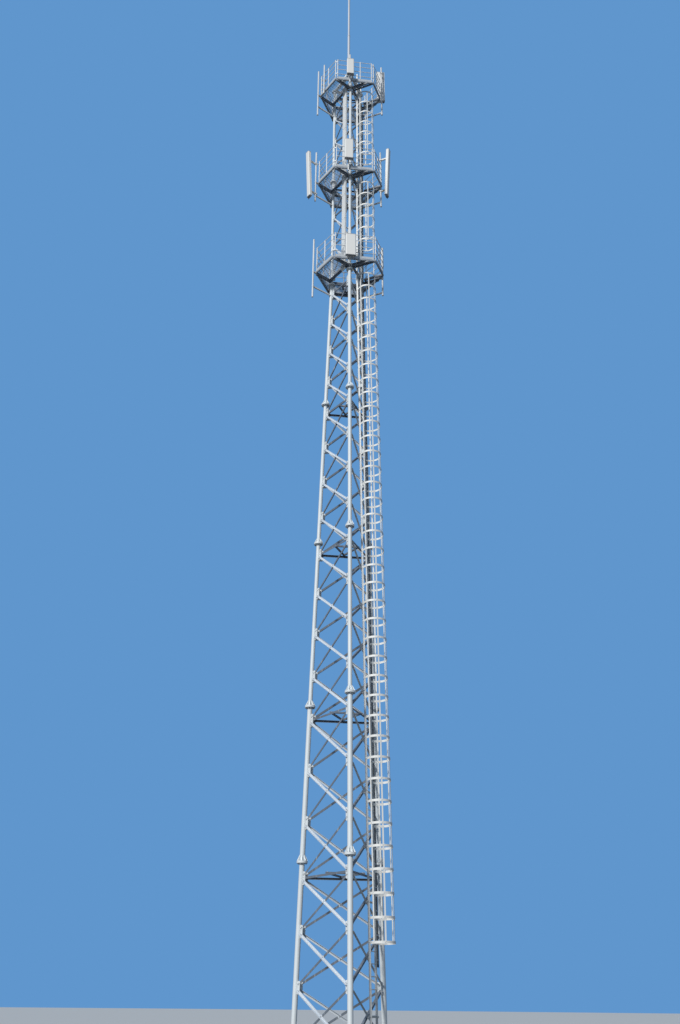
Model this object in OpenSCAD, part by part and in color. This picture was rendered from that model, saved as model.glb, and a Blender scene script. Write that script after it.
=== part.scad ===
// Three-legged lattice mast for aerials, with three railed platforms, a caged ladder and a lightning rod.
// +Z is up, the ladder face looks towards -Y, and the origin is the underside centre
// of the front left leg's base flange.

/* [Tower] */
// Distance between leg centres at the base flanges
base_side = 2300; // [2000:50:2800]
// Distance between leg centres in the straight mast
mast_side = 1040; // [900:20:1200]
// Height of the lowest leg section
base_section_h = 4600; // [4000:50:5200]
// Height of the second leg section
second_section_h = 4150; // [3800:50:4800]
// Height of each section above the second
upper_section_h = 5100; // [4500:50:5400]

/* [Legs] */
// Outside diameter of the two lowest leg sections
low_leg_d = 140; // [120:1:160]
// Outside diameter of the leg sections in the middle
mid_leg_d = 121; // [108:1:133]
// Outside diameter of the leg sections of the straight mast
top_leg_d = 102; // [89:1:114]
// Wall of every leg tube
leg_wall = 8; // [6:0.5:10]
// How far a flange stands out from its tube in the tapered part
flange_rim = 75; // [60:1:80]
// How far a flange stands out from its tube in the straight mast
top_flange_rim = 60; // [50:1:65]
// Thickness of one flange
flange_t = 28; // [20:1:32]
// Height of the stiffening ribs above a flange in the tapered part
rib_h = 170; // [120:5:190]
// Diameter of an anchor bolt hole in a base flange
anchor_hole_d = 26; // [22:1:30]
// Anchor bolts in each base flange
anchor_count = 8; // [6:1:10]

/* [Bracing] */
// Width of each leg of an angle bar in the tapered part
low_bar_w = 56; // [50:1:70]
// Width of each leg of an angle bar in the straight mast
top_bar_w = 45; // [40:1:56]
// Thickness of an angle bar
bar_t = 6; // [5:1:8]
// Thickness of a gusset plate on a leg
gusset_t = 10; // [8:1:12]
// How far a gusset plate reaches from the tube in the tapered part
low_gusset_w = 105; // [90:5:130]
// How far a gusset plate reaches from the tube in the straight mast
top_gusset_w = 75; // [65:5:90]
// Distance from a flange down to the bracing joint below it
joint_drop = 400; // [350:10:450]
// Height of the lowest bracing joint
foot_joint_z = 380; // [350:10:500]

/* [Platforms] */
// How far a platform floor reaches out from the mast's faces
floor_reach = 730; // [650:10:780]
// How far a platform floor reaches out on the ladder's side
front_reach = 930; // [880:10:980]
// Height of the lowest floor above the flange at the mast's bend
floor_1_rise = 240; // [240:5:300]
// Distance of the middle floor below the next flange
floor_2_drop = 490; // [480:10:800]
// Distance of the highest floor below the mast's top flanges
floor_3_drop = 760; // [650:10:1100]
// Height of the railing above the floor
rail_h = 1080; // [950:10:1150]

/* [Ladder] */
// Distance between the ladder's side bars
ladder_w = 400; // [360:10:440]
// Distance between two rungs
rung_pitch = 280; // [250:5:300]
// Distance from the front face to the ladder's side bars
ladder_gap = 120; // [116:1:150]
// Radius of the cage hoops
hoop_r = 320; // [300:1:340]
// Height of the lowest hoop
cage_foot_z = 2600; // [2400:20:3000]

/* [Lightning rod] */
// Height of the rod's tip above the mast's top flanges
rod_h = 5700; // [4000:50:5700]

/* [Hidden] */
$fn = 32;

// Overlaps, gaps and clearances
eps = 0.5;
hair = 0.02;
mitre_gap = 1;
clamp_gap = 0.3;
bend_gap = 3;
bar_clear = 12;
crossing_clear = 4;
level_clear = 8;
ring_clear = 5;
arm_clear = 8;
grating_clear = 14;
grating_gap = 2;
riser_clear = 10;

// Ribs and gusset plates
rib_t = 8;
rib_toe = 12;
top_rib_h = 80;
gusset_margin = 48;
gusset_corner = 30;

// Plates where two braces cross, and the inner rings
cross_plate_share = 1.5;
cross_plate_proud = 1;
ring_bar = 45;

// Platform frames and floors
clamp_t = 12;
clamp_h = 80;
clamp_mouth = 20;
beam_w = 45;
beam_h = 110;
arm_beam_w = 70;
arm_stop = 20;
rim_h = 60;
grating_t = 25;
hatch_w = 700;
tray_room = 80;
mast_foot_rise = 200;

// Railings
rail_band = 42;
rail_post_d = 38;
rail_d = 27;
rail_end = 18;
rail_rows = 4;
toe_h = 100;
toe_t = 6;
toe_rise = 2;
corner_gap = 50;

// Ladder and its brackets
stile_w = 60;
stile_t = 12;
rung_d = 22;
rung_stop = 40;
ladder_foot = 350;
bracket_w = 40;
stub_end = 20;
stub_clear = 3;

// Cage
hoop_pitch = 2 * rung_pitch;
hoop_t = 6;
hoop_w = 60;
hoop_side = 9;
hoop_steps = 5;
strip_count = 5;
strap_t = 6;
strap_w = 40;
strap_bite = 1;
strap_end = 5;
tab_t = 6;
tab_back = 4;
cage_gap = 120;
cage_stop = 250;
cage_bend_stop = 160;

// Cable tray and feeder cables
tray_x = 245;
tray_w = 190;
tray_pitch = 560;
tray_side_h = 30;
tray_t = 6;
tray_bar_w = 40;
tray_first = 150;
tray_last = 60;
tray_foot = 2100;
tray_stop = 200;
cable_d = 28;
cable_count = 5;
cable_sides = 10;
cable_side = 22;
cable_lift = 7;
cable_foot = 20;
cable_step = 40;

// Upright pipes: how far each stands out, and how far it runs below and above its floor
pipe_d = 60;
pipe_stand = 100;
right_stand = [110, 100, 200];
left_below = [1200, 1010, 1210];
left_above = [1440, 1500, 1320];
right_below = [850, 950, 850];
right_above = [450, 1880, 1950];
edge_below = 250;
near_above = 1350;
left_edge_above = 1400;
near_x = [-40, -120, -80];
left_edge_x = -190;
rail_stand = 55;
arm_w = 45;
arm_drop = 750;
block_w = 60;
edge_block_w = 50;
block_inset = 10;
rail_block_h = 40;

// Flat aerials: widths, heights and foot levels on the near edge, then the shared cover and grips
near_w = [360, 320, 280];
near_h = [950, 970, 850];
near_z = [-100, 230, 50];
near_grip = 50;
cover_d = 110;
cover_r = 35;
grip_h = 60;
grip_w = 96;
grip_wall = 14;
grip_bar_w = 50;
grip_bar_bite = 6;
grip_seat = 5;
grip_low = 0.12;
grip_high = 0.82;
whip_d = 90;
whip_h = 880;

// Aerials on corner pipes: foot level, height, width, stand-off and tilt
left_sector = [-940, 2200, 190, 180, 3];
right_sector = [-480, 2350, 210, 150, 2.5];
top_sector = [180, 1700, 320, 110, 0];
top_sector_turn = 120;

// Cable riser
riser_x = 250;
riser_w = 200;
riser_t = 55;
riser_foot = 60;
riser_head = 80;

// Top frame and lightning rod
top_plate_t = 16;
top_plate_half = 60;
stay_w = 50;
stay_sink = 10;
stay_bite = 12;
stay_head_share = 0.6;
rod_d = 100;
rod_foot = 1000;
rod_step_share = 0.5;
rod_upper_share = 0.85;
rod_point_share = 0.2;
rod_point_h = 90;
socket_h = 300;
socket_base = 60;
socket_wall = 25;

// Colours
steel = [0.80, 0.83, 0.85];
dark_steel = [0.62, 0.65, 0.68];
pale = [0.88, 0.89, 0.88];
black = [0.08, 0.08, 0.09];

// Heights of the flange joints, from the base flange to the mast's top
flange_z = [
    0,
    base_section_h,
    base_section_h + second_section_h,
    base_section_h + second_section_h + upper_section_h,
    base_section_h + second_section_h + 2 * upper_section_h,
    base_section_h + second_section_h + 3 * upper_section_h,
    base_section_h + second_section_h + 4 * upper_section_h,
    base_section_h + second_section_h + 5 * upper_section_h
];
bend_k = 5;
bend_z = flange_z[bend_k];
mast_top = flange_z[7];

// Circle through the legs, and distance of a face from the tower's axis
base_r = base_side / sqrt(3);
mast_r = mast_side / sqrt(3);
base_apothem = base_r / 2;
mast_apothem = mast_r / 2;
leg_lean = atan((base_r - mast_r) / bend_z);
face_lean = atan((base_apothem - mast_apothem) / bend_z);
edge_lean = atan((base_side - mast_side) / 2 / bend_z);
axis_x = base_side / 2;
axis_y = base_apothem;

// Outer side of the inner beams, level and height of the blocks on a rim, and the riser's front
inner_out = 110;
block_z = -grating_t - rim_h + block_inset;
block_h = rim_h - 2 * block_inset;
riser_out = mast_apothem + inner_out + riser_t;

function side_at(z) = z < bend_z ? base_side + (mast_side - base_side) * z / bend_z : mast_side;
function leg_d(k) = k < 2 ? low_leg_d : k < bend_k ? mid_leg_d : top_leg_d;

// Heights of the bracing joints, evenly spaced between the joint below one flange and the next
function spread(z0, z1, n) = [for (i = [0 : n - 1]) z0 + (z1 - z0) * i / n];
function joint_z(k) = flange_z[k] - joint_drop;
low_joints = concat(
    spread(foot_joint_z, joint_z(1), 3),
    spread(joint_z(1), joint_z(2), 3),
    spread(joint_z(2), joint_z(3), 4),
    spread(joint_z(3), joint_z(4), 4),
    spread(joint_z(4), joint_z(5), 4),
    [joint_z(5)]
);
floor_z = [bend_z + floor_1_rise, flange_z[6] - floor_2_drop, mast_top - floor_3_drop];
mast_foot_z = floor_z[0] + mast_foot_rise;
top_joints = concat(
    spread(mast_foot_z, joint_z(6), 3),
    spread(joint_z(6), joint_z(7), 4),
    [joint_z(7)]
);
ring_levels = [for (k = [1 : 7]) joint_z(k)];

// Upper ends of the ladder and of the cable tray
ladder_top = floor_z[2] + rail_h;
tray_top = floor_z[2] - tray_stop;

// How far the hoops' centre stands in front of the side bars, and the round that the cage covers
hoop_half = ladder_w / 2 + hoop_side;
hoop_stand = sqrt(hoop_r * hoop_r - pow(hoop_half, 2));
hoop_span = 360 - 2 * atan2(hoop_half, hoop_stand);
strip_span = hoop_span / strip_count;

// Puts a piece in the frame of one leg: -Y points away from the tower's axis
module on_leg(i, z = 0) {
    r = z < bend_z ? base_r : mast_r;
    translate([axis_x, axis_y, 0]) rotate([0, 0, 120 * i - 60]) translate([0, -r, 0]) children();
}

// Puts a piece in the frame of one tapered face: X along it, Z up its slope, -Y outwards
module on_low_face(i) {
    translate([axis_x, axis_y, 0]) rotate([0, 0, 120 * i])
        translate([0, -base_apothem, 0]) rotate([-face_lean, 0, 0]) children();
}

// Puts a piece in the frame of one face of the straight mast
module on_top_face(i) {
    translate([axis_x, axis_y, 0]) rotate([0, 0, 120 * i]) translate([0, -mast_apothem, 0]) children();
}

module on_face(i, z) {
    if (z < bend_z) on_low_face(i) children();
    else on_top_face(i) children();
}

// Height z measured up the slope of a face
function up_slope(z) = z < bend_z ? z / cos(face_lean) : z;

// Leg tubes, flanges and gusset plates
module leaning_rod(d, z0, z1, lean) {
    slack = d;
    intersection() {
        rotate([-lean, 0, 0]) translate([0, 0, z0 / cos(lean) - slack])
            cylinder(d = d, h = (z1 - z0) / cos(lean) + 2 * slack);
        translate([-2 * base_side, -2 * base_side, z0]) cube([4 * base_side, 4 * base_side, z1 - z0]);
    }
}

// Outer radius of the pair of flanges at joint k, the same for the tube below and the tube above
function rim_r(k) = leg_d(max(k - 1, 0)) / 2 + (k < bend_k ? flange_rim : top_flange_rim);

module flange_ribs(k) {
    d = leg_d(k);
    h = k < bend_k ? rib_h : top_rib_h;
    out = rim_r(k) - d / 2;
    lean = k < bend_k ? leg_lean : 0;
    translate([0, (flange_z[k] + flange_t + h / 2) * tan(lean), flange_z[k] + flange_t - eps])
        for (a = [22.5 : 45 : 360]) rotate([0, 0, a])
            translate([d / 2 - leg_wall / 2, rib_t / 2, 0]) rotate([90, 0, 0]) linear_extrude(rib_t)
                polygon([[0, 0], [out, 0], [out, rib_toe], [0, h]]);
}

module leg_tube(k) {
    d = leg_d(k);
    z0 = flange_z[k];
    z1 = flange_z[k + 1];
    lean = k < bend_k ? leg_lean : 0;
    y0 = z0 * tan(lean);
    y1 = z1 * tan(lean);
    difference() {
        union() {
            leaning_rod(d, z0, z1, lean);
            translate([0, y0, z0]) cylinder(r = rim_r(k), h = flange_t);
            translate([0, y1, z1 - flange_t]) cylinder(r = rim_r(k + 1), h = flange_t);
            flange_ribs(k);
        }
        leaning_rod(d - 2 * leg_wall, k == 0 ? flange_t : z0 - 1, z1 + 1, lean);
        if (k == 0) for (a = [0 : 360 / anchor_count : 359]) rotate([0, 0, a])
            translate([d / 2 + flange_rim / 2 + 2, 0, -1]) cylinder(d = anchor_hole_d, h = flange_t + 2);
    }
}

// Steepness of the brace that starts at joint z and rises by dz
function brace_angle(z, dz) = atan(dz / side_at(z));

// A gusset plate at one end of a face, mirrored by the sign of the end
module gusset(z, z_above, z_below, r, reach, end) {
    rise = max(z_above - z, z - z_below);
    half_h = reach * tan(brace_angle(z, rise)) + gusset_margin;
    root = r - leg_wall / 2;
    cut = reach - gusset_corner;
    lean = z < bend_z ? edge_lean : 0;
    translate([end * side_at(z) / 2, 0, up_slope(z)]) rotate([0, end * -lean, 0])
        translate([0, gusset_t / 2, 0]) rotate([90, 0, 0]) linear_extrude(gusset_t)
            polygon([
                [-end * root, -half_h], [-end * cut, -half_h],
                [-end * reach, gusset_corner - half_h], [-end * reach, half_h - gusset_corner],
                [-end * cut, half_h], [-end * root, half_h]
            ]);
}

function gusset_reach(z) = leg_r_at(z) + (z < bend_z ? low_gusset_w : top_gusset_w);
function leg_r_at(z) = leg_d(section_of(z)) / 2;
function section_of(z) = len([for (f = flange_z) if (f <= z) f]) - 1;

module gussets_of(joints, k) {
    for (i = [0 : 2], j = [0 : len(joints) - 1]) {
        z = joints[j];
        if (section_of(z) == k) {
            z_above = j < len(joints) - 1 ? joints[j + 1] : z;
            z_below = j > 0 ? joints[j - 1] : z;
            for (end = [-1, 1]) on_face(i, z)
                gusset(z, z_above, z_below, leg_r_at(z), gusset_reach(z), end);
        }
    }
}

module leg_section(k) {
    color(steel) {
        for (i = [0 : 2]) on_leg(i, flange_z[k]) leg_tube(k);
        gussets_of(low_joints, k);
        gussets_of(top_joints, k);
    }
}

// Angle bar along X: one leg lies on a side of the gusset plates, the other stands out from it
module angle_bar(length, w, side) {
    rotate([90, 0, 90]) linear_extrude(length) scale([side, 1]) translate([gusset_t / 2, -w / 2])
        polygon([[0, 0], [bar_t, 0], [bar_t, w - bar_t], [w, w - bar_t], [w, w], [0, w]]);
}

// An angle bar in a face, from joint p to joint q, cut short at both legs
module brace_bar(p, q, w, trim_p, trim_q, side) {
    run = q - p;
    translate([p[0], 0, p[1]]) rotate([0, -atan2(run[1], run[0]), 0])
        translate([trim_p, 0, 0]) angle_bar(norm(run) - trim_p - trim_q, w, side);
}

// Distance along a brace from the leg's axis to its end, clear of the leg and of a level bar
function bar_trim(z, angle, w) = max(
    (leg_r_at(z) + bar_clear + w / 2 * sin(angle)) / cos(angle),
    (w / 2 + crossing_clear + w / 2 * cos(angle)) / sin(angle)
);

// Two bars that cross in one panel on both sides of the gussets, joined by a plate between them
module cross_brace(z0, z1, w) {
    half_0 = side_at(z0) / 2;
    half_1 = side_at(z1) / 2;
    v0 = up_slope(z0);
    v1 = up_slope(z1);
    angle = atan((v1 - v0) / (half_0 + half_1));
    trim_0 = bar_trim(z0, angle, w);
    trim_1 = bar_trim(z1, angle, w);
    brace_bar([-half_0, v0], [half_1, v1], w, trim_0, trim_1, 1);
    brace_bar([half_0, v0], [-half_1, v1], w, trim_0, trim_1, -1);
    plate = cross_plate_share * w;
    translate([0, 0, up_slope(crossing_z(z0, z1))])
        cube([plate, gusset_t + cross_plate_proud, plate], center = true);
}

// Level of the crossing of the two bars of a panel
function crossing_z(z0, z1) = z0 + (z1 - z0) * side_at(z0) / (side_at(z0) + side_at(z1));

// Level bar between two legs, on the inner side of the gussets
module level_bar(z, w) {
    half = side_at(z) / 2;
    trim = max(leg_r_at(z) + bar_clear, (w + gusset_t / 2) * tan(60) + level_clear);
    brace_bar([-half, up_slope(z)], [half, up_slope(z)], w, trim, trim, 1);
}

module face_bracing(i, joints, w) {
    color(dark_steel) on_face(i, joints[0]) {
        for (j = [0 : len(joints) - 2]) cross_brace(joints[j], joints[j + 1], w);
        for (z = ring_levels) if (z >= joints[0] && z <= joints[len(joints) - 1]) level_bar(z, w);
    }
}

// Rings of three mitred bars whose corners lie on the middles of the level bars
module diaphragms() {
    color(dark_steel) for (z = ring_levels, i = [0 : 2]) {
        w = z < bend_z ? low_bar_w : top_bar_w;
        tip = side_at(z) / 2 / sqrt(3) - gusset_t / 2 - ring_clear;
        x_out = tip * cos(30) - mitre_gap;
        x_in = x_out - ring_bar / tan(30);
        translate([axis_x, axis_y, z + w / 2]) rotate([0, 0, 120 * i]) linear_extrude(ring_bar)
            polygon([
                [-x_out, tip / 2], [-x_in, tip / 2 - ring_bar],
                [x_in, tip / 2 - ring_bar], [x_out, tip / 2]
            ]);
    }
}

// Puts a piece at the tower's axis, at the height of a platform floor
module at_floor(p) {
    translate([axis_x, axis_y, floor_z[p]]) children();
}

// Six-sided outline of a platform, set in from its edge; the ladder's side reaches further out
module floor_outline(inset) {
    side = mast_apothem + floor_reach - inset;
    front = mast_apothem + front_reach - inset;
    half = (side + front / 2) / cos(30);
    intersection() {
        polygon([[0, 2 * side], [-half, -front], [half, -front]]);
        rotate(30) circle(r = 2 * (mast_r + floor_reach / 2 - inset), $fn = 3);
    }
}

// Clamp around a leg, open towards the gusset plates
module leg_clamp(d, h) {
    difference() {
        cylinder(r = d / 2 + clamp_gap + clamp_t, h = h);
        translate([0, 0, -1]) cylinder(r = d / 2 + clamp_gap, h = h + 2);
        translate([-d, clamp_mouth, -1]) cube([2 * d, d, h + 2]);
    }
}

// Frame of a platform: clamps on the legs, deep arms and inner beams, and a slim rim
module platform_frame(p) {
    arm_start = top_leg_d / 2 + clamp_gap + clamp_t / 2;
    arm_end = floor_reach - arm_stop;
    color(steel) {
        at_floor(p) {
            translate([0, 0, -grating_t - rim_h]) {
                linear_extrude(rim_h) difference() {
                    floor_outline(0);
                    floor_outline(beam_w);
                }
                hatch_beams();
            }
            translate([0, 0, -grating_t - beam_h]) {
                linear_extrude(beam_h) intersection() {
                    floor_outline(2);
                    for (i = [0 : 2], side = [-1, 1]) rotate(120 * i)
                        translate([side * mast_side / 2 - arm_beam_w / 2, -mast_apothem - arm_end])
                            square([arm_beam_w, arm_end - arm_start]);
                }
                for (i = [0 : 2]) rotate([0, 0, 120 * i])
                    translate([-mast_side / 2, -mast_apothem - inner_out, 0])
                        cube([mast_side, beam_w, beam_h]);
            }
        }
        for (i = [0 : 2]) on_leg(i, bend_z) translate([0, 0, floor_z[p] - grating_t - clamp_h])
            leg_clamp(top_leg_d, clamp_h);
    }
}

// Beams at both sides of the ladder's hatch; the right one starts in front of the cable tray
module hatch_beams() {
    y_rim = mast_apothem + front_reach - beam_w / 2;
    y_left = mast_apothem + inner_out - beam_w / 2;
    y_right = mast_apothem + ladder_gap + tray_room;
    translate([-hatch_w / 2 - beam_w, -y_rim, 0]) cube([beam_w, y_rim - y_left, rim_h]);
    translate([hatch_w / 2, -y_rim, 0]) cube([beam_w, y_rim - y_right, rim_h]);
    translate([hatch_w / 2, -y_right - beam_w, 0]) cube([(mast_side - hatch_w) / 2, beam_w, rim_h]);
}

// Grating panels: one on each face and one at each leg; the front one has the ladder's hatch,
// and the left one leaves room for the cable riser
module platform_floor(p) {
    far = 2 * front_reach;
    near = mast_apothem + top_leg_d / 2 + grating_clear;
    half = mast_side / 2 - grating_gap;
    hatch = hatch_w / 2;
    y_in = top_leg_d / 2 + grating_clear;
    x_in = y_in * tan(60) - 2 * grating_gap;
    x_out = far * tan(60) - 2 * grating_gap;
    color(dark_steel) at_floor(p) translate([0, 0, -grating_t]) linear_extrude(grating_t)
        intersection() {
            floor_outline(rail_band);
            union() {
                rotate(120) translate([-half, -far]) square([2 * half, far - near]);
                rotate(240) difference() {
                    translate([-half, -far]) square([2 * half, far - near]);
                    translate([riser_x - riser_clear, -riser_out - riser_clear])
                        square([riser_w + 2 * riser_clear, riser_out]);
                }
                translate([-half, -far]) square([half - hatch, far - near]);
                translate([hatch, -far])
                    square([half - hatch, far - mast_apothem - ladder_gap - tray_room]);
                for (i = [0 : 2]) rotate(120 * i - 60) translate([0, -mast_r])
                    polygon([[-x_in, -y_in], [-x_out, -far], [x_out, -far], [x_in, -y_in]]);
            }
        }
}

// One flat railing panel of some bays that stands on the rim
module rail_panel(length, bays) {
    half = length / 2 - rail_post_d / 2 - rail_end;
    for (n = [0 : bays]) translate([-half + 2 * half * n / bays, 0, -grating_t])
        rotate([0, 0, 22.5]) cylinder(d = rail_post_d, h = rail_h + grating_t, $fn = 8);
    for (k = [1 : rail_rows]) translate([-half, 0, rail_h * k / rail_rows - rail_d / 2])
        rotate([0, 90, 0]) rotate([0, 0, 30]) cylinder(d = rail_d, h = 2 * half, $fn = 6);
    translate([-half, -toe_t / 2, toe_rise]) cube([2 * half, toe_t, toe_h]);
}

module platform_railing(p) {
    inset = rail_band / 2;
    trim = 2 * inset * tan(30);
    longer = (front_reach - floor_reach) / cos(30);
    color(steel) at_floor(p) for (i = [0 : 2]) {
        rotate([0, 0, 120 * i])
            translate([0, -mast_apothem - (i == 0 ? front_reach : floor_reach) + inset, 0])
                rail_panel(mast_side - (i == 0 ? longer : 0) - trim, 2);
        rotate([0, 0, 120 * i - 60])
            translate([[longer, -longer, 0][i] / 2, -mast_r - floor_reach / 2 + inset, 0])
                rail_panel(
                    floor_reach * sqrt(3) + (i < 2 ? longer : 0) - trim - corner_gap,
                    i < 2 ? 3 : 2
                );
    }
}

// Climbing ladder in front of the front face
module ladder_part(v0, v1) {
    color(steel) {
        for (side = [-1, 1]) translate([side * ladder_w / 2 - stile_t / 2, -ladder_gap - stile_w, v0])
            cube([stile_t, stile_w, v1 - v0]);
        for (v = [v0 + rung_pitch / 2 : rung_pitch : v1 - rung_stop])
            translate([-ladder_w / 2, -ladder_gap - stile_w / 2, v]) rotate([0, 90, 0])
                cylinder(d = rung_d, h = ladder_w, $fn = 8);
    }
}

module ladder_lower() { on_low_face(0) ladder_part(ladder_foot, up_slope(bend_z - 1) - bend_gap); }
module ladder_upper() { on_top_face(0) ladder_part(bend_z + bend_gap, ladder_top); }

// A bracket from the crossing of two braces out to the ladder and the cable tray
module ladder_bracket(v) {
    out = gusset_t / 2 + bar_t;
    stub_d = min(top_bar_w, low_bar_w) - 2 * bar_t - stub_clear;
    translate([0, -out, v]) rotate([90, 0, 0]) cylinder(d = stub_d, h = ladder_gap - out - stub_end);
    translate([-ladder_w / 2 - stile_t, -ladder_gap, v - bracket_w / 2])
        cube([ladder_w / 2 + stile_t + tray_x + tray_w, bracket_w, bracket_w]);
}

module ladder_brackets() {
    color(steel) {
        on_low_face(0) for (j = [0 : 2 : len(low_joints) - 2])
            ladder_bracket(up_slope(crossing_z(low_joints[j], low_joints[j + 1])));
        on_top_face(0) for (j = [0 : 2 : len(top_joints) - 2])
            ladder_bracket(crossing_z(top_joints[j], top_joints[j + 1]));
    }
}

// Point on a circle about the hoops' axis
function arc_point(r, a) = r * [cos(a), sin(a)];

// Safety cage: hoops with upright straps, in five strips of the round
module hoop_arc(a0, span) {
    last = hoop_steps;
    linear_extrude(hoop_w) polygon(concat(
        [for (n = [0 : last]) arc_point(hoop_r + hoop_t / 2, a0 + span * n / last)],
        [for (n = [last : -1 : 0]) arc_point(hoop_r - hoop_t / 2, a0 + span * n / last)]
    ));
}

module cage_strip(s, v0, v1) {
    a0 = 90 + (360 - hoop_span) / 2 + s * strip_span;
    count = floor((v1 - v0) / hoop_pitch);
    translate([0, -ladder_gap - stile_w - hoop_stand, v0]) {
        for (n = [0 : count]) translate([0, 0, n * hoop_pitch]) hoop_arc(a0, strip_span);
        rotate([0, 0, a0 + strip_span / 2])
            translate([hoop_r - hoop_t / 2 - strap_t + strap_bite, -strap_w / 2, strap_end])
                cube([strap_t, strap_w, count * hoop_pitch + hoop_w - 2 * strap_end]);
    }
}

// Tabs that hold the ends of the hoops on the ladder's side bars
module cage_tabs(side, v0, v1) {
    count = floor((v1 - v0) / hoop_pitch);
    inner_x = ladder_w / 2 + stile_t / 2;
    x = side > 0 ? inner_x : -inner_x - tab_t;
    for (n = [0 : count]) translate([x, -ladder_gap - stile_w - tab_back, v0 + n * hoop_pitch])
        cube([tab_t, stile_w, hoop_w]);
}

module cage_run(s, v0, v1) {
    cage_strip(s, v0, v1);
    if (s == 0) cage_tabs(-1, v0, v1);
    if (s == strip_count - 1) cage_tabs(1, v0, v1);
}

// One strip of the cage; it stops below each platform and starts again above the railing
module cage(s) {
    color(steel) {
        on_low_face(0) cage_run(s, cage_foot_z, up_slope(bend_z - 1) - cage_bend_stop);
        on_top_face(0) {
            cage_run(s, floor_z[0] + rail_h + cage_gap, floor_z[1] - cage_stop);
            cage_run(s, floor_z[1] + rail_h + cage_gap, floor_z[2] - cage_stop);
        }
    }
}

// Cable tray beside the ladder
module tray_part(v0, v1) {
    for (x = [tray_x, tray_x + tray_w - tray_t])
        translate([x, -ladder_gap - tray_side_h, v0]) cube([tray_t, tray_side_h, v1 - v0]);
    for (v = [v0 + tray_first : tray_pitch : v1 - tray_last])
        translate([tray_x + tray_t / 2, -ladder_gap - tray_t, v])
            cube([tray_w - tray_t * 3 / 2, tray_t, tray_bar_w]);
}

module cable_tray() {
    color(steel) {
        on_low_face(0) tray_part(tray_foot, up_slope(bend_z - 1) - bend_gap);
        on_top_face(0) tray_part(bend_z + bend_gap, tray_top);
    }
}

// Unit vector, and the rings of points that a round cable is swept through
function unit(v) = v / norm(v);
function heading(route, n) =
    n == 0 ? unit(route[1] - route[0])
    : n == len(route) - 1 ? unit(route[n] - route[n - 1])
    : unit(unit(route[n] - route[n - 1]) + unit(route[n + 1] - route[n]));
function ring(centre, along, d, sides) =
    let (u = unit(cross(along, [1, 0.01, 0])), w = cross(along, u))
    [for (k = [0 : sides - 1]) let (a = 360 * k / sides) centre + d / 2 * (cos(a) * u + sin(a) * w)];

module swept_cable(route, d, sides) {
    last = len(route) - 1;
    points = [for (n = [0 : last]) each ring(route[n], heading(route, n), d, sides)];
    polyhedron(points, concat(
        [[for (k = [0 : sides - 1]) k]],
        [for (n = [0 : last - 1], k = [0 : sides - 1])
            let (near = n * sides, far = near + sides, next = (k + 1) % sides)
            [near + k, far + k, far + next, near + next]],
        [[for (k = [sides - 1 : -1 : 0]) last * sides + k]]
    ));
}

// Place of a point that stands out by y from the front face at height z
function off_front(x, y, z) =
    [axis_x + x, y + (z < bend_z ? z * tan(face_lean) : bend_z * tan(face_lean)), z];

// Each feeder cable has a length below the mast's bend and one above it, which meet end to end
module feeder_cables() {
    color(black) for (c = [0 : cable_count - 1]) {
        x = tray_x + cable_side + c * (tray_w - 2 * cable_side) / (cable_count - 1);
        y = -ladder_gap - cable_lift - cable_d / 2;
        foot = tray_foot + cable_foot;
        top = tray_top - cable_foot - cable_step * c;
        for (ends = [[foot, bend_z - clamp_gap], [bend_z + clamp_gap, top]])
            swept_cable([off_front(x, y, ends[0]), off_front(x, y, ends[1])], cable_d, cable_sides);
    }
}

// Upright pipes at the platforms' corners, each on a lower arm from a leg and a block on the rim
module corner_pipe(p, i, side, stand, below, above) {
    x = side * mast_side / 2;
    y = -mast_apothem - floor_reach - stand;
    z_arm = floor_z[p] - arm_drop;
    leans = z_arm < bend_z;
    leg_d_here = leans ? mid_leg_d : top_leg_d;
    clamp_out = leg_d_here / 2 + clamp_gap + clamp_t / 2;
    arm_l = floor_reach + stand - clamp_out - (leans ? arm_clear : 0);
    leg_i = (side < 0 ? i : i + 1) % 3;
    translate([axis_x, axis_y, 0]) rotate([0, 0, 120 * i]) {
        translate([x, y, floor_z[p] - below]) cylinder(d = pipe_d, h = below + above);
        translate([x - arm_w / 2, y, z_arm]) cube([arm_w, arm_l, arm_w]);
    }
    at_floor(p) translate([0, 0, block_z]) linear_extrude(block_h) difference() {
        rotate(120 * i) translate([x - block_w / 2, y]) square([block_w, stand + beam_w]);
        floor_outline(-hair);
    }
    on_leg(leg_i, z_arm) translate([0, leans ? z_arm * tan(leg_lean) : 0, z_arm])
        rotate([leans ? -leg_lean : 0, 0, 0]) leg_clamp(leg_d_here, arm_w);
}

// Short upright pipe outside a straight edge, with a block on the rim and one at the top rail
module edge_pipe(below, above) {
    translate([0, -rail_stand, -below]) cylinder(d = pipe_d, h = below + above);
    translate([-edge_block_w / 2, -rail_stand, 0]) {
        translate([0, 0, block_z]) cube([edge_block_w, rail_stand - hair, block_h]);
        translate([0, 0, rail_h / 2 - rail_block_h / 2])
            cube([edge_block_w, rail_stand + 1, rail_block_h]);
    }
}

// Puts a piece on the outer edge at the near leg, or on the outer edge of the left face
module near_edge(p, x) {
    at_floor(p) rotate([0, 0, -60]) translate([x, -mast_r - floor_reach / 2, 0]) children();
}

module left_edge(p, x) {
    at_floor(p) rotate([0, 0, 240]) translate([x, -mast_apothem - floor_reach, 0]) children();
}

module platform_pipes(p) {
    color(steel) {
        corner_pipe(p, 2, -1, pipe_stand, left_below[p], left_above[p]);
        corner_pipe(p, 0, 1, right_stand[p], right_below[p], right_above[p]);
        near_edge(p, near_x[p]) edge_pipe(edge_below, near_above);
        if (p == 2) left_edge(p, left_edge_x) edge_pipe(edge_below, left_edge_above);
    }
}

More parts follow.
